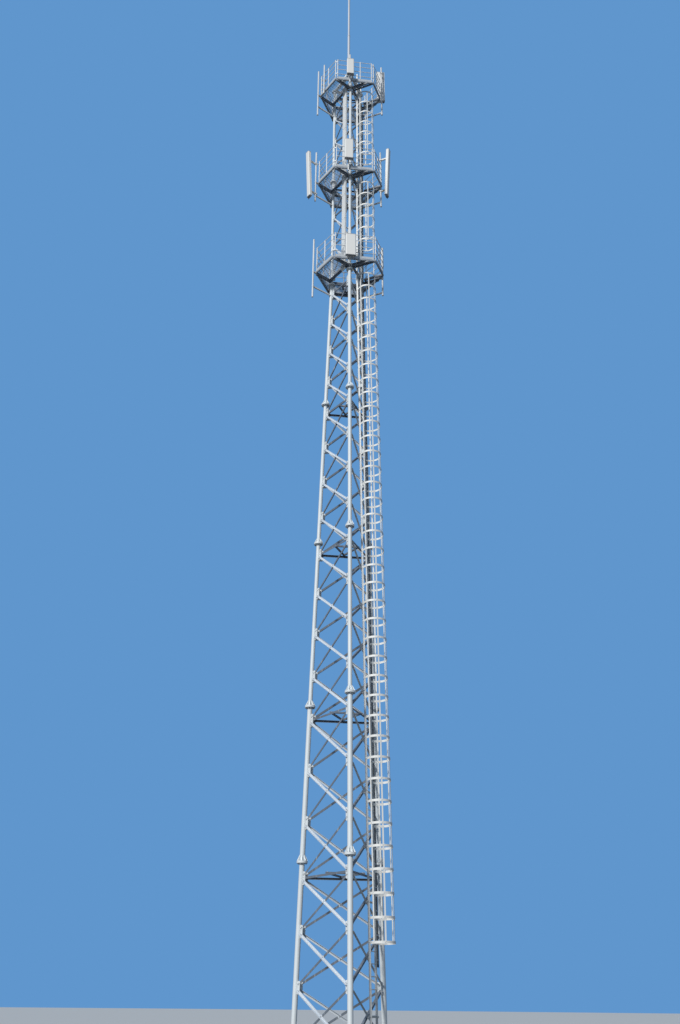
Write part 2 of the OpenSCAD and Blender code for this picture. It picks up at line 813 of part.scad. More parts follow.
// Flat aerial with a rounded front, on two brackets that hold a pipe
module rounded_bar(w, d, h, r) {
    linear_extrude(h) {
        for (x = [r - w / 2, w / 2 - r]) translate([x, -d + r]) circle(r);
        translate([-w / 2, -d + r]) square([w, d - r]);
        translate([r - w / 2, -d]) square([w - 2 * r, r]);
    }
}

module aerial(h, w, stand, tilt) {
    translate([0, -pipe_d / 2 - stand, 0]) rotate([tilt, 0, 0]) rounded_bar(w, cover_d, h, cover_r);
    for (z = [h * grip_low, h * grip_high]) {
        reach = pipe_d / 2 + stand + (z + grip_h) * tan(tilt) + grip_bar_bite;
        translate([-grip_bar_w / 2, -reach, z]) cube([grip_bar_w, reach - pipe_d / 2 - grip_seat, grip_h]);
        translate([0, 0, z]) difference() {
            translate([-grip_w / 2, -pipe_d / 2 - grip_wall, 0])
                cube([grip_w, pipe_d + 2 * grip_wall, grip_h]);
            translate([0, 0, -1]) cylinder(d = pipe_d + 2 * clamp_gap, h = grip_h + 2);
        }
    }
}

// Aerial from a row of its sizes
module sector_aerial(row) { translate([0, 0, row[0]]) aerial(row[1], row[2], row[3], row[4]); }

// Puts a piece on the axis of a corner pipe, turned about it
module on_corner(p, i, side, stand, turn) {
    at_floor(p) rotate([0, 0, 120 * i])
        translate([side * mast_side / 2, -mast_apothem - floor_reach - stand, 0])
            rotate([0, 0, turn]) children();
}

module platform_antennas(p) {
    color(pale) {
        near_edge(p, near_x[p]) translate([0, -rail_stand, near_z[p]])
            aerial(near_h[p], near_w[p], near_grip, 0);
        if (p == 0) on_corner(p, 0, 1, right_stand[p], 0) translate([0, 0, right_above[p]])
            cylinder(d = whip_d, h = whip_h);
        if (p == 1) {
            on_corner(p, 2, -1, pipe_stand, 0) sector_aerial(left_sector);
            on_corner(p, 0, 1, right_stand[p], 0) sector_aerial(right_sector);
        }
        if (p == 2) on_corner(p, 0, 1, right_stand[p], top_sector_turn) sector_aerial(top_sector);
    }
}

// Flat covered riser for cables on the left face, from the lowest platform to the highest
module cable_riser() {
    foot = floor_z[0] - grating_t - beam_h - riser_foot;
    color(steel) translate([axis_x, axis_y, 0]) rotate([0, 0, 240])
        translate([riser_x, -riser_out, foot]) cube([riser_w, riser_t, floor_z[2] + riser_head - foot]);
}

// Frame on the mast's top flanges, with three stays up to the socket of the rod
module top_frame() {
    color(steel) translate([axis_x, axis_y, mast_top]) {
        linear_extrude(top_plate_t) difference() {
            rotate(-30) circle(r = 2 * (mast_apothem + top_plate_half), $fn = 3);
            rotate(-30) circle(r = 2 * (mast_apothem - top_plate_half), $fn = 3);
        }
        difference() {
            union() {
                for (i = [0 : 2]) rotate([0, 0, 120 * i - 60]) stay();
                translate([0, 0, rod_foot - socket_h - socket_base])
                    cylinder(d = rod_d + 2 * socket_wall, h = socket_h + socket_base);
            }
            translate([0, 0, rod_foot - socket_h]) cylinder(d = rod_d + 2 * clamp_gap, h = socket_h + 1);
        }
    }
}

// One inclined stay from a leg's top to the socket
module stay() {
    low = [-mast_r, top_plate_t - stay_sink];
    high = [-rod_d / 2 - stay_bite, rod_foot - socket_h * stay_head_share];
    run = high - low;
    translate([0, low[0], low[1]]) rotate([-atan2(run[0], run[1]), 0, 0])
        translate([-stay_w / 2, -stay_w / 2, 0]) cube([stay_w, stay_w, norm(run)]);
}

module lightning_rod() {
    color(steel) translate([axis_x, axis_y, mast_top + rod_foot - socket_h]) {
        rod_run = rod_h - rod_foot + socket_h;
        upper_d = rod_d * rod_upper_share;
        cylinder(d = rod_d, h = rod_run * rod_step_share);
        cylinder(d = upper_d, h = rod_run - rod_point_h);
        translate([0, 0, rod_run - rod_point_h])
            cylinder(d1 = upper_d, d2 = rod_d * rod_point_share, h = rod_point_h);
    }
}

leg_section(0);  // leg_section_1
leg_section(1);  // leg_section_2
leg_section(2);  // leg_section_3
leg_section(3);  // leg_section_4
leg_section(4);  // leg_section_5
leg_section(5);  // leg_section_6
leg_section(6);  // leg_section_7
face_bracing(0, low_joints, low_bar_w);  // front_bracing_lower
face_bracing(1, low_joints, low_bar_w);  // right_bracing_lower
face_bracing(2, low_joints, low_bar_w);  // left_bracing_lower
face_bracing(0, top_joints, top_bar_w);  // front_bracing_upper
face_bracing(1, top_joints, top_bar_w);  // right_bracing_upper
face_bracing(2, top_joints, top_bar_w);  // left_bracing_upper
diaphragms();
platform_frame(0);  // platform_1_frame
platform_frame(1);  // platform_2_frame
platform_frame(2);  // platform_3_frame
platform_floor(0);  // platform_1_floor
platform_floor(1);  // platform_2_floor
platform_floor(2);  // platform_3_floor
platform_railing(0);  // platform_1_railing
platform_railing(1);  // platform_2_railing
platform_railing(2);  // platform_3_railing
ladder_lower();
ladder_upper();
ladder_brackets();
cage(0);  // cage_left
cage(1);  // cage_left_front
cage(2);  // cage_front
cage(3);  // cage_right_front
cage(4);  // cage_right
cable_tray();
feeder_cables();
cable_riser();
platform_pipes(0);  // platform_1_pipes
platform_pipes(1);  // platform_2_pipes
platform_pipes(2);  // platform_3_pipes
platform_antennas(0);  // platform_1_antennas
platform_antennas(1);  // platform_2_antennas
platform_antennas(2);  // platform_3_antennas
top_frame();
lightning_rod();
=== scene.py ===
# %% [markdown]
# # A three-legged lattice mast, dressed for a portrait
# The steelwork arrives as a finished frame of tubes, angle bars, platforms, ladder and cage, in metres and
# in place. This lesson adds what a fitter adds on site, such as bolts, gratings and cable clamps, and then
# gives every surface a weathered finish made only from nodes.

import math

import bmesh
import bpy
from mathutils import Matrix, Vector


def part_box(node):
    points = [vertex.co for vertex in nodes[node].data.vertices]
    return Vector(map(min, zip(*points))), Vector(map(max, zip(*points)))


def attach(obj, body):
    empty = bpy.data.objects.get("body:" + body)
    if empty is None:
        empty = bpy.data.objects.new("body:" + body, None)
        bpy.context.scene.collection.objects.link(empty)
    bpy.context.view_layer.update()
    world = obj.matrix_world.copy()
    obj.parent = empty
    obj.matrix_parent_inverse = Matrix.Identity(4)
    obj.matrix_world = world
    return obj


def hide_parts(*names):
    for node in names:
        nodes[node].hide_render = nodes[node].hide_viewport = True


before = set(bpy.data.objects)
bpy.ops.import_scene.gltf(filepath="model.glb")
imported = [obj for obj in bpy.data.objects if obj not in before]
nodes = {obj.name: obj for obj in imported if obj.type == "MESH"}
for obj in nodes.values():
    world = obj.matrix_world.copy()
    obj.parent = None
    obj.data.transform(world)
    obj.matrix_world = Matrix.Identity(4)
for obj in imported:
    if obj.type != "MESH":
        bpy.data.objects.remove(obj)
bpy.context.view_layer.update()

# %% [markdown]
# The fitter works from the same few measures as the steel shop. Heights are read from the frame itself, and
# the sizes of tubes, bars and rims are written down once, in metres. Each later piece is then placed by
# naming a leg, a face and a height instead of by typing coordinates.

# %% Measures of the mast
BASE_SIDE, MAST_SIDE = 2.300, 1.040
FLANGES = [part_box(f"leg_section_{k}")[0].z for k in range(1, 8)] + [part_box("leg_section_7")[1].z]
FLANGES[0] = 0.0
BEND = FLANGES[5]
FLOORS = [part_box(f"platform_{k}_floor")[1].z for k in (1, 2, 3)]
LEG_D = [0.140, 0.140, 0.121, 0.121, 0.121, 0.102, 0.102]
FLANGE_T = 0.028
LOW_RIM, TOP_RIM = 0.075, 0.060
LOW_GUSSET, TOP_GUSSET, GUSSET_T = 0.105, 0.075, 0.010
LOW_BAR, TOP_BAR, BAR_T = 0.056, 0.045, 0.006
BAR_FACE = GUSSET_T / 2 + BAR_T
BAR_CLEAR, CROSSING_CLEAR, LEVEL_CLEAR = 0.012, 0.004, 0.008
RING_BAR = 0.045
JOINT_DROP, FOOT_JOINT, MAST_FOOT = 0.400, 0.380, 0.200
print("flanges at", [round(z, 2) for z in FLANGES], "floors at", [round(z, 2) for z in FLOORS])

# %% Measures of the platforms and the ladder
REACH, FRONT_REACH = 0.730, 0.930
GRATING_T, GRATING_CLEAR = 0.025, 0.014
BEAM_W, BEAM_OUT, RIM_H, HATCH_HALF = 0.045, 0.110, 0.060, 0.350
RAIL_H, RAIL_BAND, RAIL_POST, RAIL_D = 1.080, 0.042, 0.038, 0.027
RAIL_END, CORNER_GAP = 0.018, 0.050
PIPE_D, ARM_W, ARM_DROP, EDGE_STAND = 0.060, 0.045, 0.750, 0.055
LADDER_W, LADDER_GAP, LADDER_FOOT = 0.400, 0.120, 0.350
STILE_W, STILE_T, RUNG_PITCH = 0.060, 0.012, 0.280
HOOP_R, HOOP_W, HOOP_T, HOOP_PITCH, CAGE_FOOT = 0.320, 0.060, 0.006, 0.560, 2.600
TRAY_X, TRAY_W, TRAY_ROOM, TRAY_FOOT, TRAY_STOP, TRAY_PITCH = 0.245, 0.190, 0.080, 2.100, 0.200, 0.560
CABLE_D, CABLE_SIDE, CABLE_LIFT, BEND_GAP = 0.028, 0.022, 0.007, 0.003
RISER_X, RISER_W, RISER_T, RISER_CLEAR = 0.250, 0.200, 0.055, 0.010
print("a cage hoop every", HOOP_PITCH, "m")

# %% [markdown]
# The legs stand on a circle, and the faces between them lie on a smaller one. From these two circles come
# the lean of the legs, the lean of the faces, and the heights at which the bracing meets the legs.

# %% Circles, leans and joints
base_r, mast_r = BASE_SIDE / math.sqrt(3), MAST_SIDE / math.sqrt(3)
base_in, mast_in = base_r / 2, mast_r / 2
leg_lean = math.atan((base_r - mast_r) / BEND)
face_lean = math.atan((base_in - mast_in) / BEND)
axis = Vector((BASE_SIDE / 2, base_in, 0))


def spread(low, high, count):
    return [low + (high - low) * i / count for i in range(count)]


drops = [z - JOINT_DROP for z in FLANGES]
low_joints = spread(FOOT_JOINT, drops[1], 3)
for k, panels in ((1, 3), (2, 4), (3, 4), (4, 4)):
    low_joints += spread(drops[k], drops[k + 1], panels)
low_joints.append(drops[5])
top_joints = spread(FLOORS[0] + MAST_FOOT, drops[6], 3) + spread(drops[6], drops[7], 4) + [drops[7]]
print("joints on each leg:", len(low_joints), "below the bend and", len(top_joints), "above")

# %% [markdown]
# Each piece of a mast belongs to a leg, to a face or to a floor, and legs and faces lean a little. A small
# matrix for each turns local measures, along the face, outwards and up, into places in the frame, so that
# nothing is fitted by eye.

# %% Places on a face, a leg and a floor
at_axis = Matrix.Translation(axis)


def side_at(z):
    return BASE_SIDE + (MAST_SIDE - BASE_SIDE) * min(z / BEND, 1)


def leg_radius(z):
    return LEG_D[max(k for k in range(7) if FLANGES[k] <= z)] / 2


def turned(degrees, axis_name="Z"):
    return Matrix.Rotation(math.radians(degrees), 4, axis_name)


def moved(x=0, y=0, z=0):
    return Matrix.Translation((x, y, z))


def face_place(face, z):
    """X along the face, -Y outwards, Z up the slope of the face."""
    turn = at_axis @ turned(120 * face)
    if z < BEND:
        return turn @ moved(0, -base_in) @ Matrix.Rotation(-face_lean, 4, "X")
    return turn @ moved(0, -mast_in)


def up_slope(z):
    return z / math.cos(face_lean) if z < BEND else z


def leg_place(leg, z):
    """Origin on the leg's centre line at height z, -Y away from the mast's axis, Z straight up."""
    out = base_r - z * math.tan(leg_lean) if z < BEND else mast_r
    return at_axis @ turned(120 * leg - 60) @ moved(0, -out, z)


def floor_place(level, turn_deg=0.0):
    return at_axis @ moved(0, 0, FLOORS[level]) @ turned(turn_deg)


def crossing(z0, z1):
    """Height at which the two braces of a panel cross."""
    return z0 + (z1 - z0) * side_at(z0) / (side_at(z0) + side_at(z1))


outwards, inwards = turned(90, "X"), turned(-90, "X")
rightwards, leftwards = turned(90, "Y"), turned(-90, "Y")
both_sides = ((1, rightwards), (-1, leftwards))
print("legs lean", round(math.degrees(leg_lean), 2), "degrees, faces", round(math.degrees(face_lean), 2))

# %% [markdown]
# The camera comes before the pieces, because it says how large a detail shows. The photographer stood about
# 26 m away, held the camera a little above the footings and tipped it up by nearly 28 degrees.

# %% Camera
FOCAL_PIXELS, PICTURE_HEIGHT, SENSOR = 939.6, 1024, 36.0
scene = bpy.context.scene
camera_data = bpy.data.cameras.new("portrait_camera")
camera_data.sensor_width = SENSOR
camera_data.lens = FOCAL_PIXELS / PICTURE_HEIGHT * SENSOR
camera_data.clip_end = 600.0
camera = bpy.data.objects.new("portrait_camera", camera_data)
scene.collection.objects.link(camera)
heading, tilt, roll = math.radians(22.88), math.radians(27.707), 0.0094
look = Matrix.Rotation(heading - math.pi / 2, 4, "Z") @ Matrix.Rotation(math.pi / 2 + tilt, 4, "X")
camera.matrix_world = moved(-22.635, -9.173, 1.267) @ look @ Matrix.Rotation(roll, 4, "Z")
scene.camera = camera
print("lens", round(camera_data.lens, 2), "mm")

# %% [markdown]
# Lattice masts are hard to light: hundreds of thin bars need one clear direction, or they turn into a grey
# haze. One broad sun from the left keeps a bright and a dark side on every tube, and an even sky fills the
# shade.

# %% Sun
sun_data = bpy.data.lights.new("studio_sun", "SUN")
sun_data.energy = 2.6
sun_data.angle = math.radians(9)
sun_data.color = (1.0, 0.98, 0.94)
sun = bpy.data.objects.new("studio_sun", sun_data)
sun_azimuth, sun_height = math.radians(172), math.radians(30)
towards_sun = Vector((
    math.cos(sun_azimuth) * math.cos(sun_height),
    math.sin(sun_azimuth) * math.cos(sun_height),
    math.sin(sun_height),
))
sun.rotation_mode = "QUATERNION"
sun.rotation_quaternion = towards_sun.to_track_quat("Z", "Y")
scene.collection.objects.link(sun)
scene.view_settings.view_transform = "Standard"
print("sun from", [round(v, 2) for v in towards_sun])

# %% [markdown]
# Node trees get long when every link is written out. A few helpers keep them readable: each input of a node
# is fed by its name or number, with a plain value or with another node's output, and the rest are the sums,
# mixes and stretched patterns that recur.


# %% Node helpers
def feed(tree, socket, value):
    if isinstance(value, bpy.types.NodeSocket):
        tree.links.new(value, socket)
    else:
        socket.default_value = value


def make(tree, kind, inputs=None, **settings):
    node = tree.nodes.new(kind)
    for key, value in settings.items():
        setattr(node, key, value)
    for key, value in (inputs or {}).items():
        feed(tree, node.inputs[key], value)
    return node


def calc(tree, operation, a, b):
    return make(tree, "ShaderNodeMath", {0: a, 1: b}, operation=operation).outputs[0]


def blend(tree, factor, a, b):
    return make(tree, "ShaderNodeMix", {0: factor, 6: a, 7: b}, data_type="RGBA").outputs[2]


def ramp(tree, value, low, high, out_low=0.0, out_high=1.0):
    inputs = {"Value": value, "From Min": low, "From Max": high, "To Min": out_low, "To Max": out_high}
    return make(tree, "ShaderNodeMapRange", inputs).outputs["Result"]


def object_place(tree):
    return make(tree, "ShaderNodeTexCoord").outputs["Object"]


def stretched_noise(tree, coords, stretch, scale, detail):
    """Noise on Object coordinates, drawn out along an axis by the stretch."""
    mapping = make(tree, "ShaderNodeMapping", {"Vector": coords, "Scale": stretch})
    inputs = {"Vector": mapping.outputs[0], "Scale": scale, "Detail": detail}
    return make(tree, "ShaderNodeTexNoise", inputs).outputs["Fac"]


def open_group(name, ins, outs):
    """A node group; the kind of each input follows from its first value."""
    group = bpy.data.node_groups.new(name, "ShaderNodeTree")
    for label, value in ins.items():
        kind = {3: "Vector", 4: "Color"}[len(value)] if isinstance(value, tuple) else "Float"
        socket = group.interface.new_socket(label, in_out="INPUT", socket_type="NodeSocket" + kind)
        socket.default_value = value
    for label in outs:
        kind = "Color" if label == "Colour" else "Float"
        group.interface.new_socket(label, in_out="OUTPUT", socket_type="NodeSocket" + kind)
    return group, group.nodes.new("NodeGroupInput").outputs, group.nodes.new("NodeGroupOutput").inputs


# %% [markdown]
# Pale steel needs something deeper behind it, so the backdrop is a calm blue. Only the eye and polished
# metal see that blue. The light that fills the shade is paler, and it is set apart by asking each ray what
# it is.

# %% Sky
world = bpy.data.worlds.new("studio_sky")
scene.world = world
world.use_nodes = True
sky = world.node_tree
sky.nodes.clear()
seen = make(sky, "ShaderNodeBackground", {"Color": (0.117, 0.305, 0.610, 1)})
fill = make(sky, "ShaderNodeBackground", {"Color": (0.74, 0.85, 1.0, 1), "Strength": 0.26})
rays = make(sky, "ShaderNodeLightPath").outputs
either = calc(sky, "MAXIMUM", rays["Is Camera Ray"], rays["Is Glossy Ray"])
swap = make(sky, "ShaderNodeMixShader", {0: either, 1: fill.outputs[0], 2: seen.outputs[0]})
make(sky, "ShaderNodeOutputWorld", {"Surface": swap.outputs[0]})
print("fill strength", round(fill.inputs["Strength"].default_value, 2))

# %% [markdown]
# Hot-dip zinc has three looks at once. Crystals the size of a thumbnail break the light into flat patches,
# rain draws long pale and dark streaks down the steel, and the coat dulls in broad clouds. One group holds
# all three, so that legs, bars and railings differ only in the values they are given.

# %% Zinc coat group
zinc, zinc_in, zinc_out = open_group("zinc_coat", {
    "Fresh Colour": (0.70, 0.72, 0.74, 1),
    "Dull Colour": (0.42, 0.45, 0.48, 1),
    "Crystals Per Metre": 70.0,
    "Crystal Contrast": 0.25,
    "Dulling": 0.5,
    "Streaks": 0.4,
    "Smoothness": 0.45,
}, ("Colour", "Roughness", "Height"))
place = object_place(zinc)
crystal = make(zinc, "ShaderNodeTexVoronoi", {"Vector": place, "Scale": zinc_in["Crystals Per Metre"]})
flake = make(zinc, "ShaderNodeSeparateColor", {0: crystal.outputs["Color"]}).outputs["Red"]
clouds = stretched_noise(zinc, place, (1, 1, 0.6), 1.3, 5.0)
grain = stretched_noise(zinc, place, (1, 1, 1), 45.0, 4.0)
streaks = stretched_noise(zinc, place, (16, 16, 0.45), 1.0, 5.0)
print("zinc patterns:", len(zinc.nodes), "nodes")

# %% [markdown]
# The three looks are now put together. Dull clouds and dark streaks never add up, so the stronger one wins.
# The crystals and the fine grain then shift that wear a little, and a pale chalky run is laid over the top.
# Where the coat is dull it is also rougher, and the crystals lift the surface by less than a tenth of a
# millimetre.

# %% Colour, roughness and height of the zinc
dull = calc(zinc, "MULTIPLY", ramp(zinc, clouds, 0.35, 0.68), zinc_in["Dulling"])
run = calc(zinc, "MULTIPLY", ramp(zinc, streaks, 0.52, 0.72), zinc_in["Streaks"])
flakes = calc(zinc, "MULTIPLY", flake, zinc_in["Crystal Contrast"])
wear = calc(zinc, "ADD", calc(zinc, "MAXIMUM", dull, run), flakes)
wear = calc(zinc, "ADD", wear, ramp(zinc, grain, 0.3, 0.7, -0.06, 0.06))
wear = make(zinc, "ShaderNodeClamp", {"Value": wear}).outputs[0]
chalk = calc(zinc, "MULTIPLY", ramp(zinc, streaks, 0.42, 0.30), 0.35)
coat = blend(zinc, wear, zinc_in["Fresh Colour"], zinc_in["Dull Colour"])
rough = calc(zinc, "SUBTRACT", 0.80, calc(zinc, "MULTIPLY", flake, 0.10))
rough = calc(zinc, "SUBTRACT", rough, calc(zinc, "MULTIPLY", zinc_in["Smoothness"], 0.45))
feed(zinc, zinc_out["Colour"], blend(zinc, chalk, coat, (0.82, 0.83, 0.82, 1)))
feed(zinc, zinc_out["Roughness"], calc(zinc, "ADD", rough, calc(zinc, "MULTIPLY", wear, 0.15)))
feed(zinc, zinc_out["Height"], calc(zinc, "ADD", flakes, calc(zinc, "MULTIPLY", grain, 0.5)))
print("zinc group:", len(zinc.nodes), "nodes")


# %% Zinc finishes
def finish_from(group, name, first, second, values, metal, strength, lift):
    """A material whose colour, roughness and relief come from one group, fed in the order of its inputs."""
    finish = bpy.data.materials.new(name)
    finish.use_nodes = True
    tree = finish.node_tree
    shader = tree.nodes["Principled BSDF"].inputs
    film = make(tree, "ShaderNodeGroup", node_tree=group)
    for socket, value in zip(film.inputs, ((*first, 1), (*second, 1), *values)):
        socket.default_value = value
    relief = {"Height": film.outputs["Height"], "Strength": strength, "Distance": lift}
    feed(tree, shader["Base Color"], film.outputs["Colour"])
    feed(tree, shader["Roughness"], film.outputs["Roughness"])
    feed(tree, shader["Normal"], make(tree, "ShaderNodeBump", relief).outputs[0])
    shader["Metallic"].default_value = metal
    return finish


def zinc_finish(name, fresh, dulled, *values, metal=0.08):
    return finish_from(zinc, name, fresh, dulled, values, metal, 0.25, 0.0008)


leg_zinc = zinc_finish("leg_zinc", (0.82, 0.89, 0.93), (0.72, 0.75, 0.77), 60, 0.20, 0.40, 0.40)
# The dark brace colours are painted shade; the bars on one side of each face later get pale painted light.
brace_shade_zinc = zinc_finish("brace_shade_zinc", (0.20, 0.235, 0.285), (0.13, 0.155, 0.19), 80, 0.25, 0.55, 0.50)
# The dark beam colours are painted shade; the platform rim later gets lighter colours as painted light.
beam_shade_zinc = zinc_finish("beam_shade_zinc", (0.20, 0.22, 0.26), (0.11, 0.13, 0.16), 70, 0.20, 0.60, 0.55)
grating_zinc = zinc_finish("grating_zinc", (0.50, 0.54, 0.58), (0.32, 0.35, 0.40), 120, 0.20, 0.70, 0.30)
railing_zinc = zinc_finish("railing_zinc", (0.90, 0.92, 0.93), (0.72, 0.75, 0.78), 100, 0.18, 0.35, 0.35)
ladder_zinc = zinc_finish("ladder_zinc", (0.86, 0.87, 0.86), (0.66, 0.68, 0.69), 90, 0.20, 0.40, 0.35)
cage_zinc = zinc_finish("cage_zinc", (0.92, 0.93, 0.91), (0.74, 0.76, 0.76), 90, 0.18, 0.35, 0.35)
tray_zinc = zinc_finish("tray_zinc", (0.72, 0.75, 0.78), (0.46, 0.49, 0.53), 90, 0.22, 0.50, 0.45)
pipe_zinc = zinc_finish("pipe_zinc", (0.86, 0.88, 0.89), (0.64, 0.67, 0.70), 85, 0.20, 0.40, 0.40)
riser_zinc = zinc_finish("riser_zinc", (0.88, 0.90, 0.90), (0.70, 0.72, 0.73), 55, 0.16, 0.40, 0.50)
rod_zinc = zinc_finish("rod_zinc", (0.72, 0.76, 0.82), (0.52, 0.56, 0.63), 85, 0.18, 0.40, 0.30)
bolt_zinc = zinc_finish(
    "bolt_zinc", (0.60, 0.61, 0.62), (0.32, 0.32, 0.33), 160, 0.15, 0.60, 0.20, 0.6, metal=0.5,
)
weld_zinc = zinc_finish("weld_zinc", (0.74, 0.76, 0.78), (0.50, 0.52, 0.55), 200, 0.25, 0.60, 0.20)
print("zinc finishes:", len(bpy.data.materials))

# %% [markdown]
# Light and shade are painted onto the bracing and the platform frames. The bars on one side of each face
# get pale colours that paint light on them, and the bars behind them keep a dark colour that paints shade, as
# do the level bars. A group tells the two sides of a face apart by a point's distance along the outward
# direction, and another finds the rim of a platform by its six edges, so that the rim is painted lighter than
# the beams, whose dark colour paints shade. A third picks out the toe board just above each floor, which gets
# duller colours.


# %% Sides of a face, rim of a platform and toe boards
def distance_along(tree, way):
    place = object_place(tree)
    return make(tree, "ShaderNodeVectorMath", {0: place, 1: way}, operation="DOT_PRODUCT").outputs["Value"]


def heading_vector(degrees):
    return Vector((math.cos(math.radians(degrees)), math.sin(math.radians(degrees)), 0))


FAR_OFF = 9.0
side_values = {"Outwards": (0.0, -1.0, 0.0), "Distance": 0.3}
# This mask picks the bars that get painted light: those past the face on one side, away from the level bars.
sides, side_in, side_out = open_group("side_of_face", side_values, ["Outer"])
past_face = calc(sides, "SUBTRACT", distance_along(sides, side_in["Outwards"]), side_in["Distance"])
height = distance_along(sides, (0, 0, 1))
off_level = FAR_OFF
for z in drops[1:]:
    gap = calc(sides, "ABSOLUTE", calc(sides, "SUBTRACT", height, z), 0.0)
    off_level = calc(sides, "MINIMUM", gap, off_level)
outer = calc(sides, "MULTIPLY", ramp(sides, past_face, -0.003, 0.003), ramp(sides, off_level, 0.028, 0.034))
feed(sides, side_out["Outer"], outer)

side_edge, corner_edge = mast_in + REACH, mast_r + REACH / 2
rim_lines = [(-90, mast_in + FRONT_REACH), (-30, corner_edge), (30, side_edge), (90, corner_edge)]
rim_lines += [(150, side_edge), (210, corner_edge)]
# This mask finds the rim of each platform, which is painted lighter than the beams as painted light.
rims, rim_in, rim_out = open_group("platform_rim", {"Width": BEAM_W}, ["Rim"])
nearest = -FAR_OFF
for heading_deg, distance in rim_lines:
    way = heading_vector(heading_deg)
    past_edge = calc(rims, "SUBTRACT", distance_along(rims, way), distance + way.dot(axis))
    nearest = calc(rims, "MAXIMUM", nearest, past_edge)
within = calc(rims, "ADD", nearest, rim_in["Width"])
feed(rims, rim_out["Rim"], ramp(rims, within, -0.004, 0.001))

toes, toe_in, toe_out = open_group("toe_board", {"Height": 0.104}, ["Board"])
height = distance_along(toes, (0, 0, 1))
above_floor = FAR_OFF
for z in FLOORS:
    rise = calc(toes, "SUBTRACT", height, z)
    below_floor = calc(toes, "MULTIPLY", calc(toes, "LESS_THAN", rise, 0.0), FAR_OFF)
    above_floor = calc(toes, "MINIMUM", calc(toes, "ADD", rise, below_floor), above_floor)
feed(toes, toe_out["Board"], calc(toes, "LESS_THAN", above_floor, toe_in["Height"]))
print("mask groups:", len(sides.nodes), len(rims.nodes), "and", len(toes.nodes), "nodes")


# %% Recoloured finishes, with painted light and shade
def recoloured_finish(name, base, mask_group, fresh, dulled, **values):
    """A copy of a zinc finish that takes other colours where a mask says so, painted light among them."""
    finish = base.copy()
    finish.name = name
    tree = finish.node_tree
    mask = make(tree, "ShaderNodeGroup", values, node_tree=mask_group).outputs[0]
    film = tree.nodes["Group"].inputs
    for label, colour in (("Fresh Colour", fresh), ("Dull Colour", dulled)):
        feed(tree, film[label], blend(tree, mask, tuple(film[label].default_value), (*colour, 1)))
    return finish


faces = ("front", "right", "left")
brace_finishes = {}
for face, label in enumerate(faces):
    for part, z in (("lower", 0.0), ("upper", BEND)):
        flat = face_place(face, z)
        # This direction picks the side of each face whose bars get the pale painted-light colours below.
        lit_way = flat.to_3x3() @ Vector((0, 1 if label == "right" else -1, 0))
        brace_finishes[f"{label}_bracing_{part}"] = recoloured_finish(
            f"{label}_{part}_zinc", brace_shade_zinc, sides, (0.74, 0.80, 0.86), (0.54, 0.60, 0.67),
            Outwards=lit_way, Distance=lit_way.dot(flat.translation),
        )
# The rim gets these lighter colours as painted light; the beams keep their dark painted shade.
frame_zinc = recoloured_finish("frame_zinc", beam_shade_zinc, rims, (0.38, 0.42, 0.47), (0.24, 0.27, 0.31))
board_zinc = recoloured_finish("board_zinc", railing_zinc, toes, (0.60, 0.64, 0.68), (0.44, 0.48, 0.52))
print("recoloured finishes:", len(brace_finishes) + 2)

# %% [markdown]
# An aerial's cover is a pale moulded plastic that chalks in the sun, and a feeder cable is black
# polyethylene that greys with dust on top. Both share one group: a base colour, a film that gathers in
# clouds, and fine grain.

# %% Weathered plastic group
plastic, skin_in, skin_out = open_group("weathered_plastic", {
    "Colour": (0.8, 0.8, 0.8, 1),
    "Film Colour": (0.6, 0.6, 0.58, 1),
    "Film": 0.4,
    "Base Roughness": 0.45,
}, ("Colour", "Roughness", "Height"))
place = object_place(plastic)
dust = ramp(plastic, stretched_noise(plastic, place, (5, 5, 0.8), 1.6, 5.0), 0.40, 0.75)
dust = calc(plastic, "MULTIPLY", dust, skin_in["Film"])
dusty = calc(plastic, "MULTIPLY", dust, 0.4)
feed(plastic, skin_out["Colour"], blend(plastic, dust, skin_in["Colour"], skin_in["Film Colour"]))
feed(plastic, skin_out["Roughness"], calc(plastic, "ADD", skin_in["Base Roughness"], dusty))
feed(plastic, skin_out["Height"], stretched_noise(plastic, place, (1, 1, 1), 260.0, 2.0))


def plastic_finish(name, colour, film_colour, *values):
    return finish_from(plastic, name, colour, film_colour, values, 0.0, 0.3, 0.0003)


radome_skin = plastic_finish("radome_skin", (0.92, 0.93, 0.92), (0.80, 0.80, 0.78), 0.35, 0.40)
cap_skin = plastic_finish("cap_skin", (0.55, 0.56, 0.58), (0.62, 0.62, 0.61), 0.35, 0.55)
cable_skin = plastic_finish("cable_skin", (0.21, 0.215, 0.22), (0.45, 0.45, 0.44), 0.80, 0.50)
boot_skin = plastic_finish("boot_skin", (0.05, 0.05, 0.05), (0.16, 0.15, 0.14), 0.40, 0.62)
print("plastic group:", len(plastic.nodes), "nodes")

# %% [markdown]
# Every carried-over node takes its finish from what it is. The list below is the whole paint schedule: the
# first word that a node's name contains decides its finish.

# %% Paint schedule
schedule = [
    ("leg_section", leg_zinc), ("diaphragms", brace_shade_zinc), ("floor", grating_zinc), ("railing", board_zinc),
    ("pipes", pipe_zinc), ("antennas", radome_skin), ("top_frame", leg_zinc), ("platform", frame_zinc),
    ("ladder", ladder_zinc), ("cage", cage_zinc), ("tray", tray_zinc), ("cables", cable_skin),
    ("riser", riser_zinc), ("rod", rod_zinc),
]
for name, node in nodes.items():
    finish = brace_finishes.get(name) or next(paint for word, paint in schedule if word in name)
    node.data.materials.clear()
    node.data.materials.append(finish)
print("painted", len(nodes), "nodes")

# %% [markdown]
# Fasteners are shaped once and stamped many times. A bolt is a stack of prisms in its own mesh, and the
# stamp copies that mesh to each place, which keeps hundreds of bolts quick to make and light to draw.


